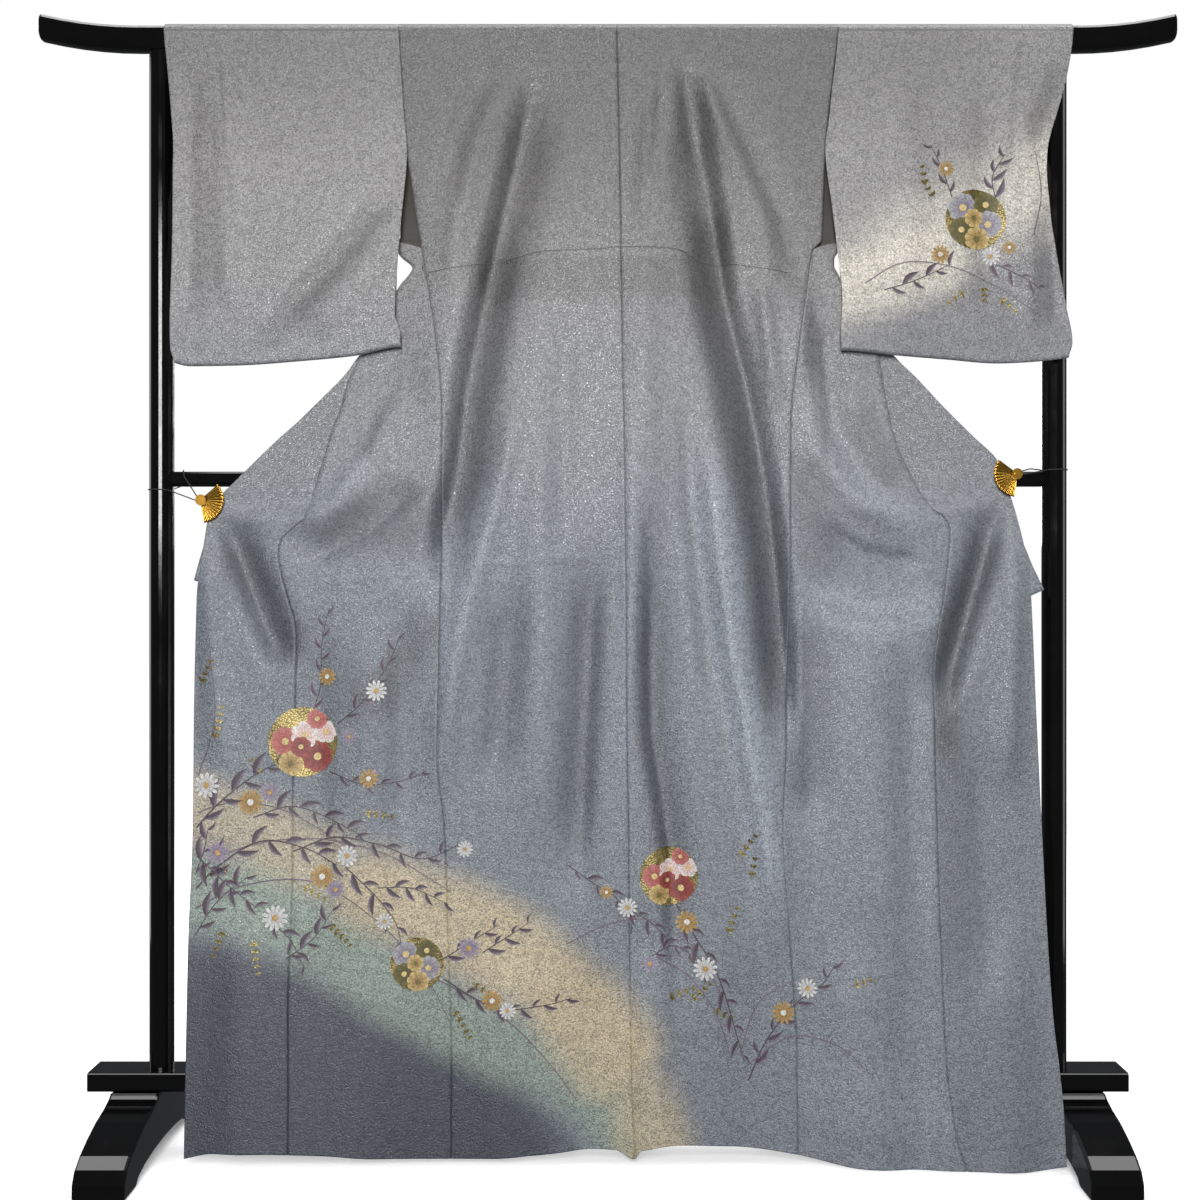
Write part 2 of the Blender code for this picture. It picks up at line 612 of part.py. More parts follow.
def front_row(side, level):
    """One row of a front panel as a dense line of o and y, from the side edge to the okumi seam.

    Above the underarm it lies on the far side only. Below, it runs out over the near face, turns
    back at the fold edge and ends at the okumi seam behind it. Near and below the clip the turn
    closes up, and the row ends at the seam on the near face.
    """
    end = float(OKUMI_SEAM[side].at("o", level))
    high, low = OKUMI_MERGE[side]
    closing = float(ramp(high, low, level))
    far_start = FAR_EDGE[side] - FOLD_TURN * float(ramp(FAR_EDGE_MOVES_Z, FREE_EDGE_Z, level))
    if level >= FREE_EDGE_Z:
        o = np.linspace(far_start - GAP / 2, end, ROW_SAMPLES)
        return np.stack([o, far_y(side * o, level)], axis=1)
    start = body_edge(side, -WRAP_Y, min(level, SIDE_SEAM_TOP)) + GAP / 2
    if level <= low:
        o = np.linspace(start, end - GAP / 2, ROW_SAMPLES)
        return np.stack([o, near_y(side * o, level)], axis=1)
    fold = max(float(FOLD_EDGE[side].at("o", level)), end)
    turn = min(FOLD_TURN, TURN_SHARE * (fold - start)) * mix(1.0, CLOSED_TURN, closing)
    near_o = np.linspace(start, fold - turn, ROW_SAMPLES)
    near = np.stack([near_o, near_y(side * near_o, level)], axis=1)
    far_o = np.linspace(fold - turn, min(end, fold - turn - SHORTEST_RETURN), ROW_SAMPLES // 2)
    layer = GAP * (1.0 - closing) if level < OKUMI_TOP + OKUMI_MARGIN else 0.0
    far = np.stack([far_o, okumi_y(side, side * far_o, level) - layer], axis=1)
    swing = np.linspace(0.0, math.pi, TURN_SAMPLES)[1:-1]
    middle, half = (near[-1, 1] + far[0, 1]) / 2, (far[0, 1] - near[-1, 1]) / 2
    turning = np.stack([fold - turn + turn * np.sin(swing), middle - half * np.cos(swing)], axis=1)
    line = np.concatenate([near, turning, far])
    travelled = np.concatenate([[0.0], np.cumsum(np.hypot(*np.diff(line, axis=0).T))])
    turned = travelled[ROW_SAMPLES + TURN_SAMPLES - 2]
    skipped = turned * float(ramp(SIDE_SEAM_TOP, FREE_EDGE_Z, level))
    cut = np.linspace(skipped, travelled[-1], 2 * ROW_SAMPLES)
    return np.stack([np.interp(cut, travelled, line[:, i]) for i in range(2)], axis=1)


def spread_evenly(line, count):
    """Points at equal steps along a line."""
    travelled = np.concatenate([[0.0], np.cumsum(np.hypot(*np.diff(line, axis=0).T))])
    cut = np.linspace(0.0, travelled[-1], count)
    return np.stack([np.interp(cut, travelled, line[:, i]) for i in range(2)], axis=1)


def make_front(name, side, material):
    levels = FAR_LEVELS + TURN_LEVELS + FRONT_LEVELS
    low = OKUMI_MERGE[side][1]
    rows = []
    for level in levels:
        line = spread_evenly(front_row(side, level), FRONT_COLUMNS)
        x = side * line[:, 0]
        z = settle(x, level)
        y = near_y(x, z) if level <= low else line[:, 1]
        rows.append(np.stack([x, y, z], axis=1))
    face = np.array(rows)
    normal = outward(face, side)
    heights = np.array(levels)
    normal[:, 0, 0] *= ramp(SIDE_SEAM_TOP, FREE_EDGE_Z, heights)
    normal[heights <= low, -1, 0] = 0.0
    normal /= np.linalg.norm(normal, axis=2, keepdims=True)
    return wall(name, face, -normal * CLOTH, material)


def make_okumi(name, side, material):
    """Overlap panel between its seam and the front edge: a long wedge that starts at the collar."""
    across = np.linspace(0.0, 1.0, OKUMI_COLUMNS)
    high, low = OKUMI_MERGE[side]
    rows = []
    for level in [level for level in FRONT_LEVELS if level <= OKUMI_TOP]:
        closing = float(ramp(high, low, level))
        clear = GAP / 2 + OKUMI_STEP_CLEAR * closing * (1.0 - closing)
        inner = float(OKUMI_SEAM[side].at("o", level)) + clear
        x = side * mix(inner, float(FRONT_EDGE[side].at("o", level)), across)
        z = settle(x, level)
        rows.append(np.stack([x, okumi_y(side, x, z), z], axis=1))
    face = np.array(rows)
    normal = level_columns(outward(face, side), (0,))
    return wall(name, face, -normal * CLOTH, material)


def sleeve_layer(side, layer, level, across):
    """One row of a sleeve layer; by the armhole it lies in one face with the body."""
    inner = SLEEVE[side].at(layer + "_inner", level) + GAP
    outer = SLEEVE[side].at(layer + "_outer", level)
    o = mix(inner, outer, across)
    x = side * o
    drop = (SLEEVE_BOTTOM.at("z", x) - SLEEVE_LOW) * ramp(SLEEVE_DROP_Z, SLEEVE_LOW, level)
    z = level + drop
    if layer == "near":
        free, joined = SLEEVE_DEPTH.at("near", z), near_y(x, z)
        waves = fold_height(x, z, SLEEVE_FOLDS)
    else:
        cuff = ramp(CUFF_START, CUFF_FULL, o) if side == RIGHT else 0.0
        free, joined = mix(SLEEVE_DEPTH.at("far", z), SLEEVE_DEPTH.at("far_outer", z), cuff), far_y(x, z)
        share = FAR_WAVE_SHARE * ramp(FAR_WAVE_FROM_Z, FAR_WAVE_FULL_Z, z)
        waves = share * fold_height(x, z, SLEEVE_FOLDS)
    below = ramp(ARMHOLE_Z, ARMHOLE_Z - SLEEVE_JOIN, z)
    loose = np.maximum(ramp(0, SLEEVE_JOIN, o - inner), below)
    y = mix(joined, free - waves * ramp(SLEEVE_LOW, SLEEVE_CALM_Z, z), loose)
    return np.stack([x, y, z], axis=1)


def make_sleeve(name, side, material):
    """Bag round the bar: down its near layer, round the bottom, up its far layer, over the bar."""
    across = np.linspace(0.0, 1.0, SLEEVE_COLUMNS)
    near = [sleeve_layer(side, "near", level, across) for level in SLEEVE_LEVELS]
    far = [sleeve_layer(side, "far", level, across) for level in reversed(SLEEVE_LEVELS)]
    bottom = (near[-1] + far[0]) / 2
    bottom[:, 2] -= SLEEVE_FOLD_DROP
    over = []
    for y, z in wrap_path()[1:-1]:
        weight = (WRAP_Y - y) / (2 * WRAP_Y)
        row = mix(far[-1], near[0], weight)
        row[:, 1], row[:, 2] = y, z
        over.append(row)
    face = np.array(near + [bottom] + far + over)
    normal = level_columns(outward(face, side, closed=True), (0,))
    return wall(name, face, -normal * CLOTH, material, closed=True)


def hindmost_okumi(side, x, z):
    """Furthest place of the okumi's face within COLLAR_CLEAR of each point."""
    steps = (-COLLAR_CLEAR, 0.0, COLLAR_CLEAR)
    return np.max([okumi_y(side, x + dx, z + dz) for dx in steps for dz in steps], axis=0)


def collar_y(side, x, z):
    """Near face of the collar where it lies behind the okumi."""
    return hindmost_okumi(side, x, z) + COLLAR_SET_BACK + GAP


def make_collar(material):
    """Folded band behind the neck edge and the front edges, its width always on the inner side."""
    edge = np.array(COLLAR_EDGE, float)
    travelled = np.concatenate([[0.0], np.cumsum(np.hypot(*np.diff(edge, axis=0).T))])
    place = np.linspace(0.0, travelled[-1], COLLAR_SECTIONS)
    x = np.interp(place, travelled, edge[:, 0])
    z = np.interp(place, travelled, edge[:, 1])
    angle = np.unwrap(np.arctan2(np.gradient(z), np.gradient(x)))
    kernel = np.hanning(COLLAR_SMOOTH + 2)[1:-1]
    padded = np.pad(angle, COLLAR_SMOOTH // 2, mode="edge")
    angle = np.convolve(padded, kernel / kernel.sum(), mode="valid")
    rows = []
    for share in (0.0, 0.5, 1.0):
        px = x + share * COLLAR_WIDTH * np.sin(angle)
        pz = z - share * COLLAR_WIDTH * np.cos(angle)
        behind = np.where(px < NECK_X, collar_y(LEFT, px, pz), collar_y(RIGHT, px, pz))
        behind = behind - COLLAR_SET_BACK * ramp(OKUMI_ENDS_Z, BARE_EDGE_Z, z)
        rows.append(np.stack([px, behind, pz], axis=1))
    face = np.array(rows).transpose(1, 0, 2)
    inward = np.zeros_like(face)
    inward[:, :, 1] = COLLAR_CLOTH
    return wall("collar", face, inward, material)


def union(target, tool):
    """Join a closed tool to a closed target and drop the tool."""
    join = target.modifiers.new("join_" + tool.name, "BOOLEAN")
    join.operation = "UNION"
    join.solver = "EXACT"
    join.object = tool
    bpy.context.view_layer.update()
    graph = bpy.context.evaluated_depsgraph_get()
    joined = bpy.data.meshes.new_from_object(target.evaluated_get(graph))
    target.modifiers.clear()
    target.data = joined
    bpy.data.objects.remove(tool)


def make_fan_clip(name, pivot_x, pivot_z, first, last, material):
    """Pleated fan leaf on a rivet boss, with a plain jaw behind the cloth."""
    radii = np.array([FAN_INNER, FAN_MIDDLE, FAN_RADIUS])
    steps = 2 * FAN_PLEATS
    rows = []
    for step in range(steps + 1):
        angle = math.radians(mix(first, last, step / steps))
        fold = FAN_PLEAT_DEPTH * (1 if step % 2 else -1) * radii / FAN_RADIUS
        rows.append(np.stack([
            pivot_x + radii * math.cos(angle), FAN_FACE_Y + fold, pivot_z + radii * math.sin(angle),
        ], axis=1))
    face = np.array(rows)
    inward = np.zeros_like(face)
    inward[:, :, 1] = FAN_WALL
    clip = wall(name, face, inward, material)
    middle = math.radians((first + last) / 2)
    reach = Vector((math.cos(middle), 0.0, math.sin(middle)))
    root = Vector((pivot_x, 0.0, pivot_z))

    grip = root + reach * JAW_LENGTH / 2
    jaw_side = LEFT if pivot_x < 0 else RIGHT
    jaw_y = float(collar_y(jaw_side, grip.x, grip.z)) + COLLAR_CLOTH + JAW_CLEAR
    leaf_root = make_rod(name + "_boss", root, FAN_ROOT_RADIUS, FAN_FACE_Y - FAN_ROOT_FRONT,
                         FAN_FACE_Y + FAN_WALL + FAN_ROOT_BACK, material)
    pin = make_rod(name + "_pin", root, FAN_PIN_RADIUS, FAN_FACE_Y - FAN_PIN_FRONT,
                   jaw_y + JAW_WALL, material)
    side = Vector((-reach.z, 0.0, reach.x))
    corners = []
    for along, over in ((-JAW_TAIL, -1), (-JAW_TAIL, 1), (JAW_LENGTH, 1), (JAW_LENGTH, -1)):
        corners.append(root + reach * along + side * over * JAW_WIDTH / 2)
    sections = [[(c.x, y, c.z) for c in corners] for y in (jaw_y, jaw_y + JAW_WALL)]
    jaw = loft(name + "_jaw", sections, material)
    for tool in (leaf_root, pin, jaw):
        union(clip, tool)
    return clip


def make_rod(name, root, radius, low_y, high_y, material):
    """Short round bar along Y."""
    turns = [math.tau * i / ROD_SIDES for i in range(ROD_SIDES)]
    ring = [(math.cos(turn), math.sin(turn)) for turn in turns]
    sections = []
    for y in (low_y, high_y):
        sections.append([(root.x + radius * c, y, root.z + radius * s) for c, s in ring])
    return loft(name, sections, material)


def make_tie(name, route, material):
    """Thin cord through the points of its route."""
    curve = bpy.data.curves.new(name, "CURVE")
    curve.dimensions = "3D"
    curve.bevel_depth = CORD_RADIUS * MM
    curve.bevel_resolution = 2
    curve.use_fill_caps = True
    spline = curve.splines.new("POLY")
    spline.points.add(len(route) - 1)
    for point, place in zip(spline.points, route):
        point.co = (*(value * MM for value in place), 1.0)
    curve.materials.append(material)
    item = bpy.data.objects.new(name, curve)
    bpy.context.scene.collection.objects.link(item)
    return item


def post_turn(side, z_start, z_end, start, end):
    """Points of a cord round a post, angles in degrees from the outward direction."""
    radius = POST_RADIUS + CORD_RADIUS + CORD_CLEAR
    points = []
    for step in range(CORD_TURN_STEPS + 1):
        place = step / CORD_TURN_STEPS
        angle = math.radians(mix(start, end, place))
        points.append((side * (POST_X + radius * math.cos(angle)), radius * math.sin(angle),
                       mix(z_start, z_end, place)))
    return points


def clip_end(side, height):
    """Where a cord leaves the back of a fan clip, at a height from its pivot."""
    pivot_x, pivot_z = FAN["left" if side == LEFT else "right"][:2]
    return (pivot_x + side * CORD_END[0], FAN_FACE_Y + CORD_END[1], pivot_z + height)


def left_tie_route():
    """From the clip to the rail, over it, round the post's far side and back to the clip."""
    front, top = RAIL_DEPTH / 2 + CORD_RADIUS + 0.5, RAIL_Z + RAIL_HEIGHT / 2 + CORD_RADIUS + 0.9
    start = [clip_end(LEFT, 3.5), (-622.0, -front - 2.0, 994.0)]
    over = [(-624.0, -front + 2.5, top - 2.0), (-626.0, 0.0, top + 0.4), (-629.0, front - 2.0, top - 1.5)]
    down = [(-632.0, front + 2.0, 992.0), (-636.0, front + 7.0, 981.0)]
    around = post_turn(LEFT, 976.5, 974.5, 120.0, -128.0)
    return start + over + down + around + [clip_end(LEFT, -1.5)]


def right_tie_route():
    """From the clip above the rail, round the post's far side and back to the clip."""
    z = RAIL_Z + RAIL_HEIGHT / 2 + CORD_RADIUS + 1.5
    start = [clip_end(RIGHT, 3.5), (620.0, -12.0, z + 1.0)]
    around = post_turn(RIGHT, z + 1.0, z - 0.5, 152.0, -128.0)
    return start + around + [clip_end(RIGHT, -1.5)]


def make_stand(lacquer):
    make_top_bar(lacquer)
    make_rail(lacquer)
    make_beam("plank", PLANK_HALF_LENGTH, PLANK_DEPTH / 2, PLANK_BOTTOM, PLANK_TOP, EDGE_ROUND, lacquer)
    for name, side in SIDES.items():
        make_post("post_" + name, side, lacquer)
        make_foot("foot_" + name, side, lacquer)


def make_kimono(silk, band_silk):
    for name, side in SIDES.items():
        make_back("back_" + name, side, silk)
        make_front("front_" + name, side, silk)
        make_okumi("okumi_" + name, side, silk)
        make_sleeve("sleeve_" + name, side, silk)
    make_collar(band_silk)


def main():
    for item in list(bpy.data.objects):
        bpy.data.objects.remove(item)
    lacquer = make_material("black_lacquer", (0.008, 0.007, 0.008), 0.12)
    silk = make_material("grey_blue_silk", (0.33, 0.36, 0.41), 0.5)
    band_silk = make_material("collar_silk", (0.34, 0.37, 0.42), 0.5)
    gilt = make_material("gilt_metal", (0.83, 0.58, 0.18), 0.25, 1.0)
    cord = make_material("dark_cord", (0.02, 0.02, 0.022), 0.7)
    make_stand(lacquer)
    make_kimono(silk, band_silk)
    for name, (pivot_x, pivot_z, first, last) in FAN.items():
        make_fan_clip("fan_clip_" + name, pivot_x, pivot_z, first, last, gilt)
    make_tie("tie_left", left_tie_route(), cord)
    make_tie("tie_right", right_tie_route(), cord)


main()
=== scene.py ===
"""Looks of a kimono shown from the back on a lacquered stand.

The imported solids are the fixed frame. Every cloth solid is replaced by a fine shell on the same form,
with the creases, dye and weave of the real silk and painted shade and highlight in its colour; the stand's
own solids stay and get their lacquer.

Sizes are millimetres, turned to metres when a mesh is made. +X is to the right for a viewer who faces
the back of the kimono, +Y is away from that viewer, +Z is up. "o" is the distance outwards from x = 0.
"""

import logging
import math
from collections.abc import Callable
from dataclasses import dataclass, field
from enum import Enum

import bmesh
import bpy
import numpy as np
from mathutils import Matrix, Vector


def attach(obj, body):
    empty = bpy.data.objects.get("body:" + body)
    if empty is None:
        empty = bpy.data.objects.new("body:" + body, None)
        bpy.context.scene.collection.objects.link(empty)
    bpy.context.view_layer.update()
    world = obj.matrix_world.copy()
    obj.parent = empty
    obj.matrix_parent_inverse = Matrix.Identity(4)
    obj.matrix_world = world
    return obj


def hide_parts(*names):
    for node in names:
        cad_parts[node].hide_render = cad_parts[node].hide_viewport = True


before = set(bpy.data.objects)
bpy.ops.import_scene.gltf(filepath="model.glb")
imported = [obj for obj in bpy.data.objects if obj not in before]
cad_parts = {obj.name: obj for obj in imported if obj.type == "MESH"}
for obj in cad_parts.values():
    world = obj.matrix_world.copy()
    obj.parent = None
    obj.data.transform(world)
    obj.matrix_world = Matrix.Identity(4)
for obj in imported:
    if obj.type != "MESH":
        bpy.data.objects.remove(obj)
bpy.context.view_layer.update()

LOG = logging.getLogger("kimono")
MM = 0.001
Array = np.ndarray
Route = tuple[tuple[float, float], ...]


class Side(Enum):
    """Side of the dress, with its sign along X."""

    LEFT = -1
    RIGHT = 1

    @property
    def word(self) -> str:
        """Name used in piece names."""
        return self.name.lower()


class Slot(Enum):
    """Material slots of the record."""

    SILK = "figured_silk"
    COLLAR = "collar_silk"
    GILT = "gilt_metal"


def ramp(start: float, end: float, value: Array | float) -> Array:
    """Smooth step from 0 at start to 1 at end: 3 t^2 - 2 t^3 of the clipped share t.

    Args:
        start: Value where the step begins.
        end: Value where the step is complete; it may be below start.
        value: Values to place on the step.

    Returns:
        Weights from 0 to 1.
    """
    t = np.clip((np.asarray(value, float) - start) / (end - start), 0.0, 1.0)
    return t * t * (3.0 - 2.0 * t)


def mix(a: Array | float, b: Array | float, weight: Array | float) -> Array:
    """Linear blend from a to b."""
    return a + (b - a) * weight


def linear(color: str) -> tuple[float, float, float, float]:
    """Linear RGBA of an sRGB hex colour.

    Args:
        color: Six hex digits, with or without a leading #.

    Returns:
        Four linear channels with alpha 1.
    """
    channels = [int(color.lstrip("#")[i:i + 2], 16) / 255.0 for i in (0, 2, 4)]
    values = [c / 12.92 if c <= 0.04045 else ((c + 0.055) / 1.055) ** 2.4 for c in channels]
    return (values[0], values[1], values[2], 1.0)


@dataclass(frozen=True)
class Table:
    """Rows of numbers under named columns, read by the first column with a smooth monotone curve."""

    columns: str
    rows: tuple[tuple[float, ...], ...]

    def at(self, column: str, key: Array | float) -> Array:
        """Value of a column at a key.

        Between rows runs the cubic whose slopes are the harmonic means of the neighbouring slopes,
        so it never swings past its rows.

        Args:
            column: Name of the column.
            key: Keys to read at, on the first column's scale.

        Returns:
            Values with the shape of key.
        """
        rows = np.array(sorted(self.rows), float)
        x, y = rows[:, 0], rows[:, self.columns.split().index(column)]
        steps = np.diff(x)
        slopes = np.diff(y) / steps
        before, after = slopes[:-1], slopes[1:]
        same = before * after > 0
        inner = np.where(same, 2.0 * before * after / np.where(same, before + after, 1.0), 0.0)
        tangents = np.concatenate([[slopes[0]], inner, [slopes[-1]]])
        key = np.clip(np.asarray(key, float), x[0], x[-1])
        i = np.clip(np.searchsorted(x, key) - 1, 0, len(x) - 2)
        t = (key - x[i]) / steps[i]
        return (
            y[i] * (1 + 2 * t) * (1 - t) ** 2 + y[i + 1] * t * t * (3 - 2 * t)
            + steps[i] * (tangents[i] * t * (1 - t) ** 2 - tangents[i + 1] * t * t * (1 - t))
        )


def route_place(x: Array, z: Array, route: Route) -> tuple[Array, Array]:
    """Distance to a route and the place along it.

    Args:
        x: Places across, millimetres.
        z: Heights, millimetres.
        route: Corner points of the route.

    Returns:
        The distance to the nearest point of the route, below zero on the left of a route that
        runs down, and that point's share of its length.
    """
    points = np.array(route, float)
    steps = np.diff(points, axis=0)
    lengths = np.hypot(steps[:, 0], steps[:, 1])
    starts = np.concatenate([[0.0], np.cumsum(lengths)])
    best = np.full(np.broadcast(x, z).shape, np.inf)
    place = np.zeros(best.shape)
    for start, step, length, before in zip(points[:-1], steps, lengths, starts):
        right, up = x - start[0], z - start[1]
        along = np.clip((right * step[0] + up * step[1]) / length**2, 0, 1)
        distance = np.hypot(right - along * step[0], up - along * step[1])
        distance = np.copysign(distance, step[0] * up - step[1] * right)
        nearer = np.abs(distance) < np.abs(best)
        best = np.where(nearer, distance, best)
        place = np.where(nearer, (before + along * length) / starts[-1], place)
    return best, place


@dataclass(frozen=True)
class Fold:
    """Soft ridge, or trough where its height is negative, along a route of x and z.

    A route that runs down has the side of half_width on its left and that of right_width, if given,
    on its right.
    """

    height: float
    half_width: float
    route: Route
    fade: float = 0.22
    right_width: float = 0.0

    def relief(self, x: Array, z: Array) -> Array:
        """Height towards the viewer: a bell across the route that fades out at both ends."""
        distance, place = route_place(x, z, self.route)
        ends = ramp(0.0, self.fade, place) * ramp(1.0, 1.0 - self.fade, place)
        width = np.where(distance > 0, self.right_width or self.half_width, self.half_width)
        return self.height * np.exp(-((distance / width) ** 2)) * ends


